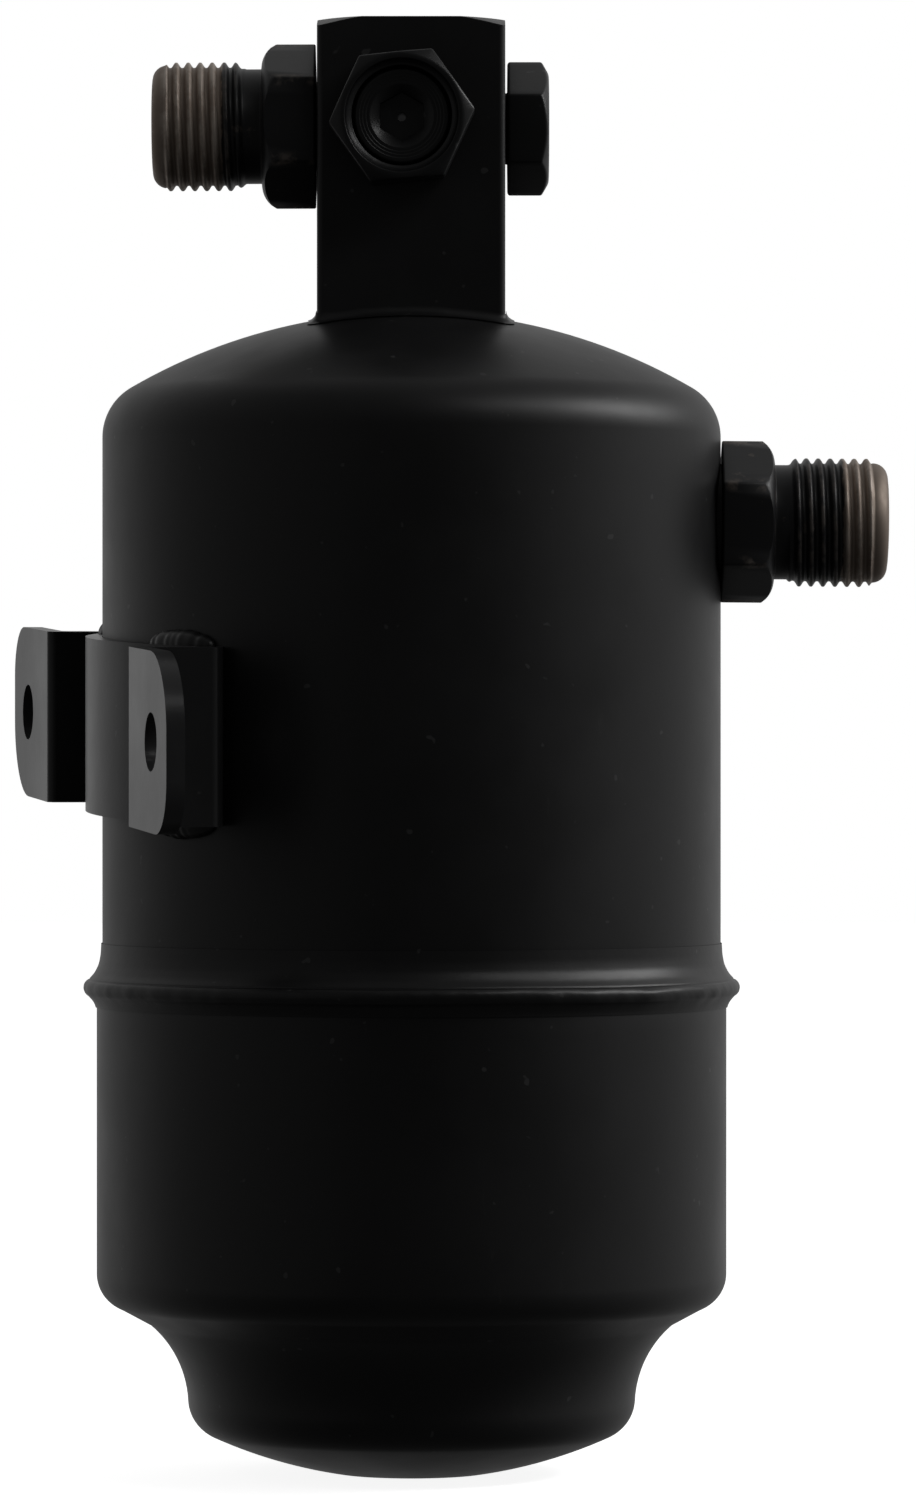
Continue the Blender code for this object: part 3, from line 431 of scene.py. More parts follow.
def worn_fitting(name, sizes, seat):
    """Black paint up to the bare brown-grey thread, rubbed on the hexagon's corners. seat is the
    fitting's place."""
    material, tree, shader, place = new_material(name)
    direction = seat.to_3x3() @ Vector((0, 0, 1))
    radius, along = distance_from_axis(tree, place, seat.translation, direction)
    ragged = add_noise(tree, place, RAGGED_SCALE, 3.0, 0.6)
    wander = add_product(tree, add_math(tree, "SUBTRACT", ragged, 0.5), 0.0009)
    bare = add_range(tree, add_sum(tree, along, wander), sizes.bare_from - 0.00012,
                     sizes.bare_from + 0.00012)

    crest_wear = add_product(
        tree, add_range(tree, radius, CREST_RADIUS - 0.00022, CREST_RADIUS - 0.00004),
        add_range(tree, ragged, 0.40, 0.60),
        add_range(tree, radius, CREST_RADIUS + 0.0003, CREST_RADIUS + 0.0001), 0.16)
    corner = sizes.flats / math.sqrt(3)
    corner_wear = add_product(tree, add_range(tree, radius, corner - 0.00060, corner - 0.00022),
                              add_range(tree, ragged, 0.46, 0.66), 0.30)
    chips = add_range(tree, add_noise(tree, place, CHIP_SCALE, 4.0, 0.7), 0.66, 0.72)
    chips = add_product(tree, chips, 0.18)
    worn = add_math(tree, "MAXIMUM", add_math(tree, "MAXIMUM", crest_wear, corner_wear), chips)
    metal = add_math(tree, "MAXIMUM", bare, worn)

    # Painted shade: the thread's roots are coloured darker than its flanks and crests.
    clear_of_root_shade = add_range(tree, radius, ROOT_RADIUS + 0.00006, CREST_RADIUS - 0.00022)
    blotch = add_noise(tree, place, BLOTCH_SCALE, 4.0, 0.65, (1.0, 0.6, 0.6))
    blotch = add_range(tree, blotch, 0.36, 0.64)
    steel = add_colour_mix(tree, blotch, STEEL_DARK, STEEL_LIGHT)
    steel = add_colour_mix(tree, clear_of_root_shade, STEEL_ROOT_SHADE, steel)
    tree.links.new(add_colour_mix(tree, metal, FITTING_BLACK, steel), shader.inputs["Base Color"])
    tree.links.new(add_value_mix(tree, metal, 0.42, add_range(tree, blotch, 0.0, 1.0, 0.62, 0.52)),
                   shader.inputs["Roughness"])
    tree.links.new(add_product(tree, metal, 0.72), shader.inputs["Metallic"])
    turning = add_noise(tree, place, TURNING_SCALE, 2.0, 0.5, (1.0, 0.15, 0.15))
    add_bumps(tree, shader, [(ragged, 0.00005, 0.25), (turning, 0.00001, 0.5)])
    return material


def plain_metal(name, dark, light, roughness):
    """Worked metal: blotched colour, uneven roughness and fine tool marks."""
    material, tree, shader, place = new_material(name)
    shader.inputs["Metallic"].default_value = 1.0
    cloud = add_noise(tree, place, METAL_CLOUD_SCALE, 4.0, 0.6)
    marks = add_noise(tree, place, METAL_MARK_SCALE, 3.0, 0.5)
    tree.links.new(add_colour_mix(tree, add_range(tree, cloud, 0.3, 0.7), dark, light),
                   shader.inputs["Base Color"])
    tree.links.new(add_range(tree, marks, 0.25, 0.75, roughness - 0.08, roughness + 0.08),
                   shader.inputs["Roughness"])
    add_bumps(tree, shader, [(cloud, 0.00003, 0.3), (marks, 0.00001, 0.5)])
    return material


def soft_material(name, dark, light, roughness, cell_scale, depth):
    """Felt, rubber or packed beads: a granular surface of a given cell scale per metre."""
    material, tree, shader, place = new_material(name)
    cells = tree.nodes.new("ShaderNodeTexVoronoi")
    cells.inputs["Scale"].default_value = cell_scale
    tree.links.new(place, cells.inputs["Vector"])
    fuzz = add_noise(tree, place, cell_scale * 2.5, 3.0, 0.6)
    # Painted shade: each grain is coloured paler in its middle and darker towards its edges, where the
    # grains meet.
    shade = add_range(tree, cells.outputs["Distance"], 0.0, 0.6)
    tree.links.new(add_colour_mix(tree, shade, light, dark), shader.inputs["Base Color"])
    tree.links.new(add_range(tree, fuzz, 0.3, 0.7, roughness - 0.06, roughness + 0.06),
                   shader.inputs["Roughness"])
    dome = add_math(tree, "SUBTRACT", 1.0, cells.outputs["Distance"])
    add_bumps(tree, shader, [(dome, depth, 0.8), (fuzz, depth * 0.2, 0.5)])
    return material


# ==== mesh helpers ====
def arc(centre, radius, start, end, steps):
    """Points of (radius, height) on an arc between two angles in degrees, both ends included."""
    points = []
    for i in range(steps + 1):
        angle = math.radians(start + (end - start) * i / steps)
        points.append((centre[0] + radius * math.cos(angle), centre[1] + radius * math.sin(angle)))
    return points


def soften(profile, reach=SOFT_EDGE, steps=3):
    """Rounds the corners of a profile of (radius, height) points. A third value on a point is its
    own reach, the length that the rounding takes from each side; 0 leaves the point alone."""
    flat = [Vector(point[:2]) for point in profile]
    out = [flat[0]]
    for i in range(1, len(flat) - 1):
        own = profile[i][2] if len(profile[i]) > 2 else reach
        if own == 0:
            out.append(flat[i])
            continue
        before, after = flat[i - 1] - flat[i], flat[i + 1] - flat[i]
        start = flat[i] + before.normalized() * min(own, 0.45 * before.length)
        end = flat[i] + after.normalized() * min(own, 0.45 * after.length)
        for k in range(steps + 1):
            t = k / steps
            out.append(start * (1 - t) ** 2 + flat[i] * 2 * t * (1 - t) + end * t * t)
    return out + [flat[-1]]


def kept(points):
    """Points of a curve that is already round, for a softened profile."""
    return [(radius, height, 0) for radius, height in points]


def join(shape, here, there, lift=0):
    """A strip of quads between two columns. lift is how much further up the second one starts."""
    for i in range(len(here) - 1 - lift):
        k = i + lift
        shape.faces.new((here[i], here[i + 1], there[k + 1], there[k]))


def skin(shape, columns, wrap=True):
    """Adds a sheet of quads through equal columns of points."""
    rows = [[shape.verts.new(point) for point in column] for column in columns]
    followers = rows[1:] + rows[:1] if wrap else rows[1:]
    for here, there in zip(rows, followers):
        join(shape, here, there)
    return rows


def turn(angles, profile_at, ripple=None):
    """Columns of a turned shape: profile_at gives each angle's profile. ripple shifts its points."""
    columns = []
    for angle in angles:
        points = profile_at(angle)
        if ripple:
            points = [ripple(angle, point) for point in points]
        columns.append([(r * math.cos(angle), r * math.sin(angle), z) for r, z in points])
    return columns


def finish_mesh(shape, name, sharp=SHARP_TURNED):
    """Welds the patches, points the faces out and shades them smooth, apart from sharp edges."""
    bmesh.ops.remove_doubles(shape, verts=shape.verts, dist=1.5e-6)
    bmesh.ops.dissolve_degenerate(shape, edges=shape.edges, dist=1e-6)
    bmesh.ops.recalc_face_normals(shape, faces=shape.faces)
    mesh = bpy.data.meshes.new(name)
    shape.to_mesh(mesh)
    shape.free()
    mesh.shade_smooth()
    mesh.set_sharp_from_angle(angle=math.radians(sharp))
    return mesh


def in_scene(name, data):
    item = bpy.data.objects.new(name, data)
    bpy.context.scene.collection.objects.link(item)
    return item


def add_object(name, mesh, place=None):
    if place:
        mesh.transform(place)
    return in_scene(name, mesh)


def skinned(name, columns, place=None, sharp=SHARP_TURNED, wrap=True):
    shape = bmesh.new()
    skin(shape, columns, wrap)
    return add_object(name, finish_mesh(shape, name, sharp), place)


def turned(name, profile, columns=TURNED_COLUMNS, place=None, ripple=None, closed=False):
    """A turned solid. closed joins the profile's end to its start; otherwise both lie on the axis."""
    points = list(profile)
    if closed:
        points.append(points[0])
    angles = [math.tau * i / columns for i in range(columns)]
    return skinned(name, turn(angles, lambda angle: points, ripple), place)


def prism(name, outline, low, high, place=None):
    """A straight solid over an outline in the XY plane."""
    shape = bmesh.new()
    face = shape.faces.new([shape.verts.new((x, y, low)) for x, y in outline])
    lifted = bmesh.ops.extrude_face_region(shape, geom=[face])["geom"]
    top = [part for part in lifted if isinstance(part, bmesh.types.BMVert)]
    bmesh.ops.translate(shape, verts=top, vec=(0, 0, high - low))
    return add_object(name, finish_mesh(shape, name, SHARP_PRISM), place)


def settle(item):
    """Applies an object's modifiers."""
    graph = bpy.context.evaluated_depsgraph_get()
    mesh = bpy.data.meshes.new_from_object(item.evaluated_get(graph))
    item.modifiers.clear()
    item.data = mesh


def combine(item, other, operation="DIFFERENCE"):
    """Cuts, joins or intersects with a helper object, which is then deleted."""
    modifier = item.modifiers.new(other.name, "BOOLEAN")
    modifier.operation = operation
    modifier.solver = "EXACT"
    modifier.object = other
    settle(item)
    bpy.data.objects.remove(other)


def round_edges(item, width, angle):
    """Rounds an object's sharp edges and keeps its flat faces flat in the shading."""
    bevel = item.modifiers.new("rounded_edges", "BEVEL")
    bevel.width = width
    bevel.segments = 3
    bevel.limit_method = "ANGLE"
    bevel.angle_limit = math.radians(angle)
    settle(item)
    item.data.shade_smooth()
    item.data.set_sharp_from_angle(angle=math.radians(SHARP_BEVELLED))
    item.modifiers.new("flat_faces", "WEIGHTED_NORMAL").keep_sharp = True
    settle(item)


def dress(item, material, node):
    """Gives a piece its material and body, and hides the CAD node that it stands for."""
    item.data.materials.clear()
    item.data.materials.append(material)
    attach(item, "reservoir")
    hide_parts(node)


# ==== hexagons and threads ====
def hexagon_angles(shift):
    """Column angles of a hexagonal piece: even along the flats, close together at each corner.
    shift turns the hexagon, in degrees."""
    offsets = [CORNER_SPREAD * part for part in (-1.0, -0.5, 0.0, 0.5, 1.0)]
    offsets += [6.0 * i for i in range(1, 10)]
    angles = [60.0 * corner + offset + shift for corner in range(6) for offset in offsets]
    return sorted(math.radians(angle % 360.0) for angle in angles)


def hexagon_radius(flats, angle, fillet=HEX_FILLET):
    """Distance from the axis to a hexagon with rounded corners, one of them at angle 0."""
    to_corner = (angle + math.pi / 6) % (math.pi / 3) - math.pi / 6
    centre = (flats / 2 - fillet) / math.cos(math.pi / 6)
    meeting = math.atan2(fillet / 2, centre + fillet * math.cos(math.pi / 6))
    if abs(to_corner) < meeting:
        side = centre * math.sin(to_corner)
        return centre * math.cos(to_corner) + math.sqrt(fillet ** 2 - side ** 2)
    return flats / 2 / math.cos(math.pi / 6 - abs(to_corner))


def hexagonal(name, shift, profile_at, place):
    return skinned(name, turn(hexagon_angles(shift), profile_at), place, SHARP_MACHINED)


def chamfered_end(radius, face, high):
    """Profile points from a hexagon's side to its turned face, over a chamfer."""
    fall = max(radius - face, 0.0) * math.tan(math.radians(HEX_CHAMFER))
    return [(radius, high - fall, HEX_EDGE), (face, high, 0.00040)]


def domed_end(radius, face, high):
    """Profile points from a hexagon's side to its turned face, over a round dome."""
    points = []
    for i in range(DOME_STEPS + 1):
        out = (radius - face) * (1 - i / DOME_STEPS)
        points.append((face + out, high - HEX_DOME + math.sqrt(HEX_DOME ** 2 - out ** 2)))
    return kept(points)


def clamped(value):
    return min(max(value, 0.0), 1.0)


def eased(value):
    share = clamped(value)
    return share * share * (3 - 2 * share)


def thread_radius(s, angle, sizes):
    """Radius of a right-hand thread at length s and an angle, with its run-out and its plain nose."""
    turns = (s - sizes.crest_at) / THREAD_PITCH - angle / math.tau
    from_crest = abs((turns + 0.5) % 1.0 - 0.5)
    flank = clamped((from_crest - CREST_SHARE) / (FLANK_SHARE - CREST_SHARE))
    height = 1.0 - FLANK_STRAIGHT * flank - (1.0 - FLANK_STRAIGHT) * eased(flank)
    run_out = clamped((s - sizes.neck_end) / (sizes.run_out * THREAD_PITCH))
    root = NECK_RADIUS + (ROOT_RADIUS - NECK_RADIUS) * run_out
    radius = root + (CREST_RADIUS - root) * height * run_out
    lead = eased((s - (sizes.end - sizes.tip_length)) / (NOSE_STEP * THREAD_PITCH) + 0.5)
    radius += (sizes.tip_radius - radius) * lead
    inwards = max(NOSE_ARC - (sizes.end - s), 0.0)
    return radius - NOSE_ARC + math.sqrt(max(NOSE_ARC ** 2 - inwards ** 2, 0.0))


def thread_columns(angles, sizes):
    """Columns whose points follow the helix, clamped to the thread's two ends. The last one meets
    the first one turn higher up."""
    start = sizes.neck_end
    turns = (sizes.end - start) / THREAD_PITCH
    rows = math.ceil(ROWS_PER_TURN * (turns + 1 + 1 / len(angles))) + 2
    columns = []
    for angle in angles:
        column = []
        for k in range(rows + 1):
            s = start + (k / ROWS_PER_TURN + angle / math.tau - 1.0) * THREAD_PITCH
            s = min(max(s, start), sizes.end)
            r = thread_radius(s, angle, sizes)
            column.append((r * math.cos(angle), r * math.sin(angle), s))
        columns.append(column)
    return columns


def threaded_connector(name, place, sizes):
    """Stub, hexagon, neck, thread and a bore right through, along the place's Z."""
    angles = hexagon_angles(sizes.turn)
    shape = bmesh.new()

    def body_profile(angle):
        radius = hexagon_radius(sizes.flats, angle - math.radians(sizes.turn))
        seat = sizes.hex_start
        points = [(FITTING_BORE, -sizes.stub), (FITTING_BORE + SOFT_EDGE, -sizes.stub),
                  (sizes.stub_radius, -sizes.stub), (sizes.stub_radius, seat), (radius, seat, HEX_EDGE)]
        points += domed_end(radius, HEX_FACE_RADIUS, sizes.hex_end)
        return soften(points + [(NECK_RADIUS, sizes.hex_end), (NECK_RADIUS, sizes.neck_end)])

    def tip_profile(angle):
        end = sizes.end
        rim = thread_radius(end, angle, sizes)
        return soften([(rim, end), (FITTING_MOUTH, end), (FITTING_BORE, end - MOUTH_DEPTH),
                       (FITTING_BORE, -sizes.stub)])

    skin(shape, turn(angles, body_profile))
    rows = skin(shape, thread_columns(angles, sizes), wrap=False)
    join(shape, rows[-1], rows[0], ROWS_PER_TURN)
    skin(shape, turn(angles, tip_profile))
    return add_object(name, finish_mesh(shape, name, SHARP_MACHINED), place)


# ==== the can ====
def crown_points(offset, steps):
    """Dome from its centre hole to the cylinder, moved inwards from the outer skin by offset."""
    crown_z = DOME_TOP_Z - CROWN_RADIUS
    knuckle_r = UPPER_RADIUS - CROWN_KNUCKLE
    knuckle_z = crown_z + math.sqrt((CROWN_RADIUS - CROWN_KNUCKLE) ** 2 - knuckle_r ** 2)
    meeting = math.degrees(math.acos(knuckle_r / (CROWN_RADIUS - CROWN_KNUCKLE)))
    radius = CROWN_RADIUS - offset
    start = math.degrees(math.acos(DOME_HOLE_RADIUS / radius))
    crown = arc((0.0, crown_z), radius, start, meeting, steps)
    return crown[:-1] + arc((knuckle_r, knuckle_z), CROWN_KNUCKLE - offset, meeting, 0.0, steps)


def wall_points(radius, high, low, steps):
    """Straight wall divided evenly, so that its quads stay near square."""
    return [(radius, high + (low - high) * i / steps) for i in range(1, steps)]


def upper_shell():
    skirt = LOWER_RADIUS - WALL - GAP
    inner = UPPER_RADIUS - WALL
    skirt_end = UPPER_LOW.z
    outside = crown_points(0.0, 20)
    outside += wall_points(UPPER_RADIUS, outside[-1][1], JOGGLE_HIGH_Z, 14)
    profile = kept(outside)
    profile += [(UPPER_RADIUS, JOGGLE_HIGH_Z, 0.0008), (skirt, JOGGLE_LOW_Z, 0.0008), (skirt, skirt_end)]
    profile += [(skirt - WALL, skirt_end), (skirt - WALL, JOGGLE_LOW_Z, 0.0008),
                (inner, JOGGLE_HIGH_Z, 0.0008)]
    inside = list(reversed(crown_points(WALL, 14)))
    return turned("upper_shell_skin", soften(profile + kept(inside)), CAN_COLUMNS, closed=True)


def lower_skin(offset, steps):
    """Bottom of the lower shell from the axis to the wall, moved inwards by offset."""
    centre_z = math.sqrt(DISH_RADIUS ** 2 - BASE_FLAT_RADIUS ** 2)
    knuckle_r = SUMP_RADIUS - SUMP_KNUCKLE
    knuckle_z = centre_z - math.sqrt((DISH_RADIUS - SUMP_KNUCKLE) ** 2 - knuckle_r ** 2)
    meeting = -math.degrees(math.acos(knuckle_r / (DISH_RADIUS - SUMP_KNUCKLE)))
    dish = DISH_RADIUS - offset
    flat_edge = -math.degrees(math.asin((centre_z - offset) / dish))
    points = [(0.0, offset), (BASE_FLAT_RADIUS / 2, offset)]
    points += arc((0.0, centre_z), dish, flat_edge, meeting, steps)[:-1]
    points += arc((knuckle_r, knuckle_z), SUMP_KNUCKLE - offset, meeting, FLARE_ANGLES[0] - 180, steps)
    points += arc(FLARE_CENTRE, FLARE_RADIUS + offset, *FLARE_ANGLES, steps)[1:]
    shoulder = (LOWER_RADIUS - SHOULDER_RADIUS, SHOULDER_Z)
    points += arc(shoulder, SHOULDER_RADIUS - offset, SHOULDER_START, 0.0, steps)
    return points


def lower_shell():
    outside = lower_skin(0.0, 14)
    outside += wall_points(LOWER_RADIUS, outside[-1][1], LOWER_RIM_Z, 8)
    profile = kept(outside) + [(LOWER_RADIUS, LOWER_RIM_Z), (LOWER_RADIUS - WALL, LOWER_RIM_Z)]
    profile += kept(reversed(lower_skin(WALL, 10)))
    return turned("lower_shell_skin", soften(profile), CAN_COLUMNS)


def girth_weld():
    """The bead over the lower shell's rim: a smooth flare above, a crease, and a rippled roll."""
    toe = LOWER_RADIUS + GAP / 2
    top = UPPER_RADIUS + GAP / 2
    crest = WELD_HIGH.x
    profile = [(top + out, z, 0.0004) for out, z in WELD_FLARE]
    profile += [(crest - 0.00075, WELD_CREASE_Z + 0.0002, 0.0001),
                (crest - 0.0007, WELD_CREASE_Z, 0.0001)]
    profile += kept(arc((crest - WELD_ROLL, WELD_ROLL_Z), WELD_ROLL, 54.0, -62.0, 10))
    profile += [(toe + out, z, 0.0004) for out, z in WELD_FOOT] + [(toe, WELD_LOW.z, 0.0004)]
    outside = soften(profile)
    inside = [Vector((toe, LOWER_RIM_Z + GAP)), Vector((top, LOWER_RIM_Z + GAP))]

    def ripple(angle, point):
        """Uneven bead: fine ripples, lumps, a lap where the weld ends meet, and a slow wander."""
        radius, height = point
        proud = clamped((radius - toe) / (crest - toe))
        below_crease = clamped((WELD_CREASE_Z + 0.0001 - height) / 0.0006)
        spot = Vector((math.cos(angle), math.sin(angle), height * 8)) * 20.0
        lap = math.exp(-((math.degrees(angle) - WELD_LAP_AT) / 3.5) ** 2)
        wave = math.sin(angle * WELD_RIPPLES + 5000.0 * height)
        shift = 0.00009 * noise.noise(spot) + 0.000015 * wave + 0.00022 * lap
        slow = 0.00016 * noise.noise(Vector((math.cos(angle), math.sin(angle), 3.0)) * 2.2)
        return Vector((radius + proud * below_crease * shift, height + proud * slow))

    return turned("girth_weld_bead", outside + inside, WELD_COLUMNS, ripple=ripple, closed=True)


# ==== head block ====
def port_cutter(port, place):
    bore, bore_depth, seat, seat_depth, gallery, gallery_depth = port
    profile = [(0.0, -gallery_depth), (gallery, -gallery_depth), (gallery, -bore_depth),
               (bore, -bore_depth), (bore, -seat_depth), (seat, -seat_depth), (seat, OVERCUT),
               (0.0, OVERCUT)]
    return turned("port_cutter", profile, BORE_COLUMNS, place)


def rounded_square(half, radius, steps):
    outline = []
    for corner in range(4):
        centre = (half - radius) * math.sqrt(2)
        middle = math.radians(45 + 90 * corner)
        spot = (centre * math.cos(middle), centre * math.sin(middle))
        outline += arc(spot, radius, 90 * corner, 90 * corner + 90, steps)
    return outline


def head_block():
    """Milled bar: turned-down top corners, a dome-shaped seat, a spigot, a riser and three ports."""
    block = prism("head_block_milled", rounded_square(BLOCK_HALF, BLOCK_CORNER, 5),
                  DOME_TOP_Z - BLOCK_SUNK, BLOCK_TOP_Z + OVERCUT)
    drop = (CORNER_REACH - BLOCK_CHAMFER_RADIUS) * math.tan(math.radians(BLOCK_CHAMFER_SLOPE))
    below = BLOCK_LOW.z - OVERCUT
    turned_top = [(0.0, below), (CORNER_REACH, below), (CORNER_REACH, BLOCK_TOP_Z - drop),
                  (BLOCK_CHAMFER_RADIUS, BLOCK_TOP_Z), (0.0, BLOCK_TOP_Z)]
    combine(block, turned("block_top", turned_top, BLOCK_COLUMNS), "INTERSECT")
    crown = arc((0.0, DOME_TOP_Z - CROWN_RADIUS), CROWN_RADIUS + GAP, 70.0, 90.0, 12)
    seat = [(0.0, below), (crown[0][0], below)] + crown[:-1] + [(0.0, crown[-1][1])]
    combine(block, turned("block_seat", seat))
    spigot = [(0.0, BLOCK_LOW.z), (SPIGOT_RADIUS, BLOCK_LOW.z), (SPIGOT_RADIUS, SPIGOT_ROOT_Z),
              (0.0, SPIGOT_ROOT_Z)]
    combine(block, turned("block_spigot", spigot, BORE_COLUMNS), "UNION")
    tube_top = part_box("pickup_tube")[1].z + GAP
    riser = [(0.0, below), (TUBE_HOLE, below), (TUBE_HOLE, tube_top), (RISER_RADIUS, tube_top),
             (RISER_RADIUS, RISER_TOP_Z), (0.0, RISER_TOP_Z)]
    combine(block, turned("block_riser", riser, BORE_COLUMNS))
    for port, place in ((RELIEF_PORT, RELIEF_PLACE), (OUTLET_PORT, OUTLET_PLACE),
                        (BLANK_PORT, BLANK_PLACE)):
        combine(block, port_cutter(port, place))
    round_edges(block, BLOCK_EDGE, 38.0)
    return block


def dome_height(radius):
    return DOME_TOP_Z - CROWN_RADIUS + math.sqrt(CROWN_RADIUS ** 2 - radius ** 2)


def block_fillet():
    """The small hand-run fillet at the block's foot."""
    outline = rounded_square(BLOCK_HALF + GAP / 2, BLOCK_CORNER, 4)
    spots = []
    for here, there in zip(outline, outline[1:] + outline[:1]):
        parts = 40 if math.dist(here, there) > BLOCK_HALF else 1
        for i in range(parts):
            spots.append(Vector(here).lerp(Vector(there), i / parts))
    core = BLOCK_HALF + GAP / 2 - BLOCK_CORNER
    columns = []
    for spot in spots:
        nearest = Vector([min(max(value, -core), core) for value in spot])
        outwards = (spot - nearest).normalized()
        leg = BLOCK_FILLET * (1.0 + 0.20 * noise.noise(Vector((spot.x, spot.y, 0.0)) * 420.0))
        column = []
        for r, z in arc((leg, leg), leg, 270.0, 180.0, 8):
            flat = spot + outwards * r
            column.append((flat.x, flat.y, dome_height(flat.length) + GAP / 2 + z))
        column.append((spot.x, spot.y, dome_height(spot.length) + GAP / 2))
        columns.append(column + column[:1])
    return skinned("block_foot_fillet", columns)


# ==== plug and valve ====
def blanking_plug():
    """Hexagon head with a turned end, on a plain stub in the right-hand port."""
    def profile_at(angle):
        radius = hexagon_radius(PLUG_FLATS, angle - math.radians(PLUG_TURN))
        lead = PLUG_STUB_RADIUS - PLUG_LEAD
        points = [(0.0, -PLUG_STUB), (lead, -PLUG_STUB), (PLUG_STUB_RADIUS, PLUG_LEAD - PLUG_STUB),
                  (PLUG_STUB_RADIUS, GAP), (radius - 0.0003, GAP), (radius, GAP + 0.0002)]
        return soften(points + chamfered_end(radius, PLUG_FACE_RADIUS, PLUG_HEAD_END)
                      + [(0.0, PLUG_HEAD_END)])

    return hexagonal("blanking_plug_head", PLUG_TURN, profile_at, BLANK_PLACE)


def relief_valve_body():
    """Hexagon whose dished mouth steps down to the adjuster's bore."""
    high = RELIEF_HEAD_END
    mouth = [(RELIEF_MOUTH_RADIUS, high, 0.0001)]
    mouth += [(radius, high - depth) for radius, depth in RELIEF_MOUTH]
    inside = [(RELIEF_BORE, ADJUSTER_LOW - GAP), (RELIEF_CHAMBER, ADJUSTER_LOW - GAP),
              (RELIEF_CHAMBER, RELIEF_CHAMBER_LOW), (RELIEF_SEAT, RELIEF_CHAMBER_LOW)]

    def profile_at(angle):
        radius = hexagon_radius(RELIEF_FLATS, angle - math.radians(RELIEF_TURN))
        points = [(RELIEF_SEAT, -RELIEF_STUB), (PORT_STUB_RADIUS, -RELIEF_STUB), (PORT_STUB_RADIUS, GAP),
                  (radius, GAP)]
        points += chamfered_end(radius, RELIEF_FACE_RADIUS, high)
        return soften(points + mouth + inside + [(RELIEF_SEAT, -RELIEF_STUB)], reach=0.00011)

    return hexagonal("relief_valve_hexagon", RELIEF_TURN, profile_at, RELIEF_PLACE)


def relief_adjuster():
    """Set screw with a round rim, fine turned steps and a countersunk hexagon socket."""
    low, high = ADJUSTER_LOW, ADJUSTER_HIGH
    radius = RELIEF_BORE - GAP
    rim = kept(arc((radius - ADJUSTER_RIM, high - ADJUSTER_RIM), ADJUSTER_RIM, 0.0, 90.0, 6))
    steps = []
    for i in range(3):
        out = TOOL_STEPS_AT - TOOL_STEP * i
        steps += [(out, high - TOOL_STEP_DEPTH * i, 0.00003),
                  (out - 0.0001, high - TOOL_STEP_DEPTH * (i + 1), 0.00003)]

    def profile_at(angle):
        socket = hexagon_radius(SOCKET_FLATS, angle - math.radians(ADJUSTER_TURN), 0.0001)
        level = high - TOOL_STEP_DEPTH * 3
        floor = high - SOCKET_DEPTH
        points = [(ADJUSTER_GUIDE, low), (radius, low)] + rim + steps
        points += [(SOCKET_SINK, level), (socket, level - (SOCKET_SINK - socket) * SOCKET_SLOPE),
                   (socket, floor), (ADJUSTER_VENT, floor), (ADJUSTER_VENT, ADJUSTER_GUIDE_TOP),
                   (ADJUSTER_GUIDE, ADJUSTER_GUIDE_TOP), (ADJUSTER_GUIDE, low)]
        return soften(points, reach=0.00008)

    return hexagonal("relief_adjuster_screw", ADJUSTER_TURN, profile_at, RELIEF_PLACE)


def seal_ring(name, place, inner_radius):
    centre = (inner_radius + SEAL_GAP + SEAL_WIRE, -SEAL_DEPTH)
    return turned(name, arc(centre, SEAL_WIRE, 0, 345, 23), place=place, closed=True)


# ==== bracket ====
def bracket_half_outline():
    """Half of the bent strip as (out, along) points, from the middle's outer face round the ear to
    the middle's inner face."""
    inner = UPPER_RADIUS + SADDLE_CLEARANCE
    outer = inner + SADDLE_THICKNESS
    back = WEB_FACE + STRIP_THICKNESS
    ear_back = EAR_PLANE - STRIP_THICKNESS
    foot = math.sqrt(outer ** 2 - (WEB_FACE - BEND_INSIDE) ** 2)
    small = 0.6 * BEND_INSIDE
    points = arc((0, 0), outer, 0.0, math.degrees(math.asin((WEB_FACE - BEND_INSIDE) / outer)), 24)
    points += arc((foot + small, WEB_FACE - 0.9 * BEND_INSIDE), 0.9 * BEND_INSIDE, 180.0, 90.0, 4)[2:]
    points += arc((EAR_PLANE - BEND_INSIDE, WEB_FACE + BEND_INSIDE), BEND_INSIDE, -90, 0, 6)
    points += [(EAR_PLANE, EAR_TIP), (ear_back, EAR_TIP)]
    points += arc((ear_back - small, back + small), small, 0.0, -90.0, 4)
    points += arc((SADDLE_TOE, back - BEND_OUTSIDE), BEND_OUTSIDE, 90.0, 160.0, 6)
    points += arc((0, 0), inner, math.degrees(math.asin(SADDLE_HALF / inner)), 0.0, 24)
    return points


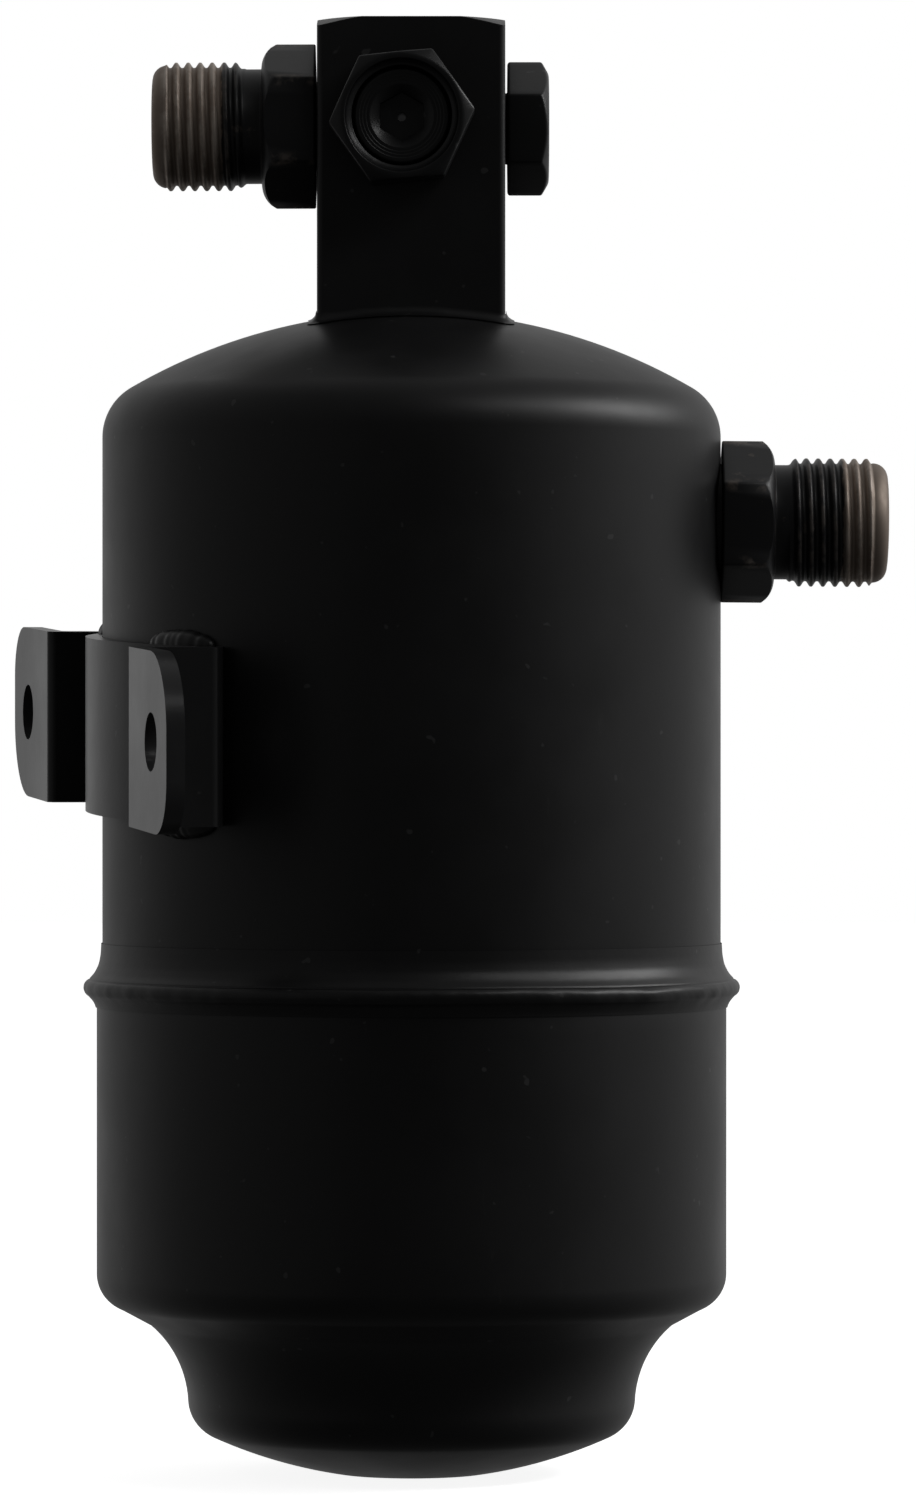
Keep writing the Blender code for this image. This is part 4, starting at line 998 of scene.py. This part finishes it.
def mounting_bracket():
    half = bracket_half_outline()
    outline = half[:-1] + [(out, -along) for out, along in reversed(half)][:-1]
    height = STRIP_HEIGHT / 2
    shear = Matrix.Identity(4)
    shear[2][1] = -math.tan(math.radians(BRACKET_CANT))
    strip = prism("bracket_strip", outline, -height, height)
    strip.data.transform(shear)

    corners = ((-EAR_TIP, -height, 180, EAR_CORNER_BIG), (EAR_TIP, -height, 270, EAR_CORNER_SMALL),
               (EAR_TIP, height, 0, EAR_CORNER_BIG), (-EAR_TIP, height, 90, EAR_CORNER_SMALL))
    front = []
    for x, y, start, radius in corners:
        centre = (x - math.copysign(radius, x), y - math.copysign(radius, y))
        front += arc(centre, radius, start, start + 90, 14)
    blank = prism("bracket_blank", front, EAR_CUT_LOW, EAR_CUT_HIGH)
    stand = Matrix(((0, 0, 1, 0), (1, 0, 0, 0), (0, 1, 0, 0), (0, 0, 0, 1)))
    blank.data.transform(shear @ stand)
    combine(strip, blank, "INTERSECT")
    for along in (BOLT_HOLE_OFFSET, -BOLT_HOLE_OFFSET):
        up = -along * math.tan(math.radians(BRACKET_CANT))
        outline = arc((along, up), BOLT_HOLE_RADIUS, 0, 352.5, 47)
        hole = prism("bolt_hole", outline, HOLE_CUT_LOW, EAR_CUT_HIGH)
        hole.data.transform(stand)
        combine(strip, hole)
    round_edges(strip, STRIP_EDGE, 42.0)
    strip.data.transform(BRACKET_PLACE)
    return strip


def capped(columns):
    """Adds a column at each end that closes the tube at the middle of its last ring."""
    ends = []
    for column in (columns[0], columns[-1]):
        middle = sum((Vector(point) for point in column[:-1]), Vector()) / (len(column) - 1)
        ends.append([middle] * len(column))
    return [ends[0]] + columns + [ends[1]]


def bracket_weld(name, up, side):
    """One short, lumpy fillet weld along the saddle's upper or lower edge."""
    inner = UPPER_RADIUS + GAP / 2
    slope = math.tan(math.radians(BRACKET_CANT))
    start, end = TACK_ANGLES
    columns = []
    for i in range(TACK_STEPS + 1):
        share = i / TACK_STEPS
        angle = math.radians(side * (start + (end - start) * share))
        swell = max(math.sin(math.pi * share), 0.0) ** 0.42 + 0.02
        lump = 1.0 + 0.22 * noise.noise(Vector((angle * 40.0, up * 3.0, side * 2.0)))
        size = TACK_LEG * swell * (lump + 0.015 * math.sin(share * 60.0))
        x, y = math.cos(angle), math.sin(angle)
        edge = up * (STRIP_HEIGHT / 2 - TACK_INSET) - slope * inner * y
        column = []
        for k in range(11):
            t = math.radians(-14.0 + 118.0 * k / 10)
            out = inner + size * max(math.cos(t), 0.0)
            column.append((out * x, out * y, edge + up * (TACK_INSET + size * math.sin(t))))
        column.append((inner * x, inner * y, edge))
        columns.append(column + column[:1])
    return skinned(name, capped(columns), BRACKET_PLACE, wrap=False)


# ==== springs ====
def coil(name, radius, wire, low, high, turns, place=None):
    """A compression spring with flat end turns, between two heights. radius is over the wire."""
    steps = int(turns * 40)
    slopes = []
    for i in range(steps + 1):
        from_end = min(turns * i / steps, turns - turns * i / steps)
        slopes.append(END_TURN_SLOPE + (1 - END_TURN_SLOPE) * clamped((from_end - END_TURN) / 0.4))
    columns = []
    climbed = 0.0
    for i in range(steps + 1):
        angle = math.tau * turns * i / steps
        height = low + wire + (high - low - 2 * wire) * climbed / sum(slopes[:-1])
        climbed += slopes[i]
        section = arc((radius - wire, height), wire, 0, 360, 12)
        columns.append([(r * math.cos(angle), r * math.sin(angle), z) for r, z in section])
    return skinned(name, capped(columns), place, wrap=False)


# ==== camera, light, stage ====
def add_camera():
    camera = in_scene("camera", bpy.data.cameras.new("camera"))
    camera.data.lens = CAMERA_LENS
    camera.data.sensor_width = 36.0
    camera.data.clip_end = 10.0
    camera.location = CAMERA_AT
    camera.rotation_euler = (math.pi / 2, 0.0, 0.0)
    bpy.context.scene.camera = camera


def add_world():
    """A white studio: seen white, and lighting the object mostly from behind and from the right."""
    world = bpy.data.worlds.new("studio")
    bpy.context.scene.world = world
    world.use_nodes = True
    tree = world.node_tree
    tree.nodes.clear()
    direction = tree.nodes.new("ShaderNodeSeparateXYZ")
    tree.links.new(tree.nodes.new("ShaderNodeTexCoord").outputs["Generated"], direction.inputs["Vector"])
    right, back, up = direction.outputs
    towards_back = add_product(tree, add_sum(tree, back, 1.0), 0.5)
    falloff = add_math(tree, "SUBTRACT", WORLD_FALLOFF, add_product(tree, right, WORLD_RIGHT))
    wrap = add_math(tree, "POWER", towards_back, falloff)
    below = add_math(tree, "MAXIMUM", add_sum(tree, add_product(tree, up, WORLD_BELOW), 1.0), 0.05)
    below = add_math(tree, "MINIMUM", below, 1.0)
    level = add_sum(tree, add_product(tree, wrap, below, WORLD_BACK), WORLD_FRONT)
    lit = tree.nodes.new("ShaderNodeBackground")
    tree.links.new(level, lit.inputs["Strength"])
    seen = tree.nodes.new("ShaderNodeBackground")
    seen.inputs["Color"].default_value = (1.0, 1.0, 1.0, 1.0)
    choose = tree.nodes.new("ShaderNodeMixShader")
    tree.links.new(tree.nodes.new("ShaderNodeLightPath").outputs["Is Camera Ray"], choose.inputs[0])
    tree.links.new(lit.outputs[0], choose.inputs[1])
    tree.links.new(seen.outputs[0], choose.inputs[2])
    tree.links.new(choose.outputs[0], tree.nodes.new("ShaderNodeOutputWorld").inputs["Surface"])


def add_strip(name, start, end, height, radiance):
    """A soft strip between two points, turned to face the can."""
    start, end = Vector(start), Vector(end)
    middle = (start + end) / 2
    run = (end - start).normalized()
    away = middle - Vector((0, 0, CAN_MIDDLE_Z))
    away = (away - run * away.dot(run)).normalized()
    light = bpy.data.lights.new(name, "AREA")
    light.shape = "RECTANGLE"
    light.size = (end - start).length
    light.size_y = height
    light.energy = radiance * math.pi * light.size * height
    item = in_scene(name, light)
    turned_to = Matrix((run, away.cross(run), away)).transposed().to_4x4()
    item.matrix_world = Matrix.Translation(middle) @ turned_to
    item.visible_camera = False


def add_floor():
    """A pale table. It is seen and catches the shadow, but sends no light to the can."""
    shape = bmesh.new()
    level = CAD_BOX[0].z - FLOOR_SINK
    corners = ((-1, -1), (1, -1), (1, 1), (-1, 1))
    shape.faces.new([shape.verts.new((FLOOR_HALF * x, FLOOR_HALF * y, level)) for x, y in corners])
    floor = add_object("floor", finish_mesh(shape, "floor"))
    material = bpy.data.materials.new("pale_floor")
    material.use_nodes = True
    shader = material.node_tree.nodes["Principled BSDF"]
    shader.inputs["Base Color"].default_value = (FLOOR_GREY, FLOOR_GREY, FLOOR_GREY, 1.0)
    shader.inputs["Roughness"].default_value = 0.9
    shader.inputs["Specular IOR Level"].default_value = 0.0
    shader.inputs["Emission Color"].default_value = (1.0, 1.0, 1.0, 1.0)
    shader.inputs["Emission Strength"].default_value = FLOOR_GLOW
    floor.data.materials.append(material)
    floor.visible_diffuse = False
    floor.visible_glossy = False


# ==== build ====
add_camera()
add_world()
add_strip("right_window_wide", (0.55, -1.00, 1.15), (0.80, -0.29, 0.72), 0.22, 2.4)
add_strip("right_window_bright", (0.80, -0.29, 0.72), (0.80, 0.29, 0.44), 0.22, 6.0)
add_strip("left_card", (-0.35, -0.90, 0.33), (-1.05, -0.05, 0.33), 1.2, 0.05)
add_floor()
bpy.context.scene.view_settings.view_transform = "Standard"

CAN_PAINT = black_paint("can_paint_satin", (0.0050, 0.0050, 0.0053), 0.42, 0.45, scuffs=0.5)
BLOCK_PAINT = black_paint("block_paint_satin", (0.0050, 0.0050, 0.0054), 0.42, 0.6)
BRACKET_PAINT = black_paint("bracket_paint_semigloss", (0.0170, 0.0172, 0.0178), 0.31, 0.7)
HARDWARE_PAINT = black_paint("hardware_paint_satin", (0.0050, 0.0052, 0.0056), 0.38, 0.7)
WELD_PAINT = black_paint("weld_paint_satin", (0.0055, 0.0055, 0.0058), 0.41, 0.9)
RUBBER = soft_material("seal_rubber_moulded", (0.012, 0.020, 0.016), (0.020, 0.030, 0.025), 0.55, 2600.0,
                       0.00001)
INNER_STEEL = plain_metal("inner_steel_drawn", (0.42, 0.42, 0.43), (0.60, 0.60, 0.61), 0.34)
BRASS = plain_metal("strainer_brass_pressed", (0.48, 0.33, 0.13), (0.68, 0.52, 0.26), 0.36)
FELT = soft_material("filter_felt_pressed", (0.60, 0.57, 0.49), (0.80, 0.78, 0.72), 0.92, 1500.0, 0.00010)
BEADS = soft_material("desiccant_beads_packed", (0.35, 0.26, 0.18), (0.72, 0.61, 0.47), 0.75, 420.0,
                      0.0006)

dress(upper_shell(), CAN_PAINT, "upper_shell")
dress(lower_shell(), CAN_PAINT, "lower_shell")
dress(girth_weld(), WELD_PAINT, "girth_weld")
dress(head_block(), BLOCK_PAINT, "head_block")
dress(block_fillet(), WELD_PAINT, "block_weld")

for node, sizes, place in (("outlet_fitting", OUTLET, OUTLET_PLACE),
                           ("inlet_fitting", INLET, INLET_PLACE)):
    name = node.replace("fitting", "connector")
    steel = worn_fitting(name + "_worn", sizes, place)
    dress(threaded_connector(name, place, sizes), steel, node)

dress(blanking_plug(), HARDWARE_PAINT, "blanking_plug")
dress(relief_valve_body(), HARDWARE_PAINT, "relief_valve_body")
dress(relief_adjuster(), HARDWARE_PAINT, "relief_adjuster")

dress(mounting_bracket(), BRACKET_PAINT, "mounting_bracket")
for level, up in (("top", 1), ("bottom", -1)):
    for end, side in (("near", 1), ("far", -1)):
        tack = bracket_weld(f"bracket_fillet_{level}_{end}", up, side)
        dress(tack, WELD_PAINT, f"bracket_weld_{level}_{end}")

for node, place, inner in (("outlet_seal", OUTLET_PLACE, PORT_STUB_RADIUS),
                           ("blanking_plug_seal", BLANK_PLACE, PLUG_STUB_RADIUS),
                           ("relief_valve_seal", RELIEF_PLACE, PORT_STUB_RADIUS)):
    ring = seal_ring(node.replace("_seal", "_o_ring"), place, inner)
    dress(ring, RUBBER, node)

for node, material in (("pickup_tube", INNER_STEEL), ("pickup_strainer", BRASS),
                       ("lower_retainer_plate", INNER_STEEL), ("upper_retainer_plate", INNER_STEEL),
                       ("relief_poppet", INNER_STEEL), ("inlet_braze", BRASS),
                       ("lower_filter_pad", FELT), ("upper_filter_pad", FELT),
                       ("desiccant_bed", BEADS)):
    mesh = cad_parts[node].data
    mesh.materials.clear()
    mesh.materials.append(material)

low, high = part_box("pack_spring")
spring = coil("pack_spring_coil", high.x, PACK_SPRING_WIRE, low.z, high.z, PACK_SPRING_TURNS)
dress(spring, INNER_STEEL, "pack_spring")
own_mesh(spring)
low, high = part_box("relief_spring")
spring = coil("relief_spring_coil", (high.x - low.x) / 2, RELIEF_SPRING_WIRE,
              -BLOCK_HALF - high.y, -BLOCK_HALF - low.y, RELIEF_SPRING_TURNS, RELIEF_PLACE)
dress(spring, INNER_STEEL, "relief_spring")
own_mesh(spring)
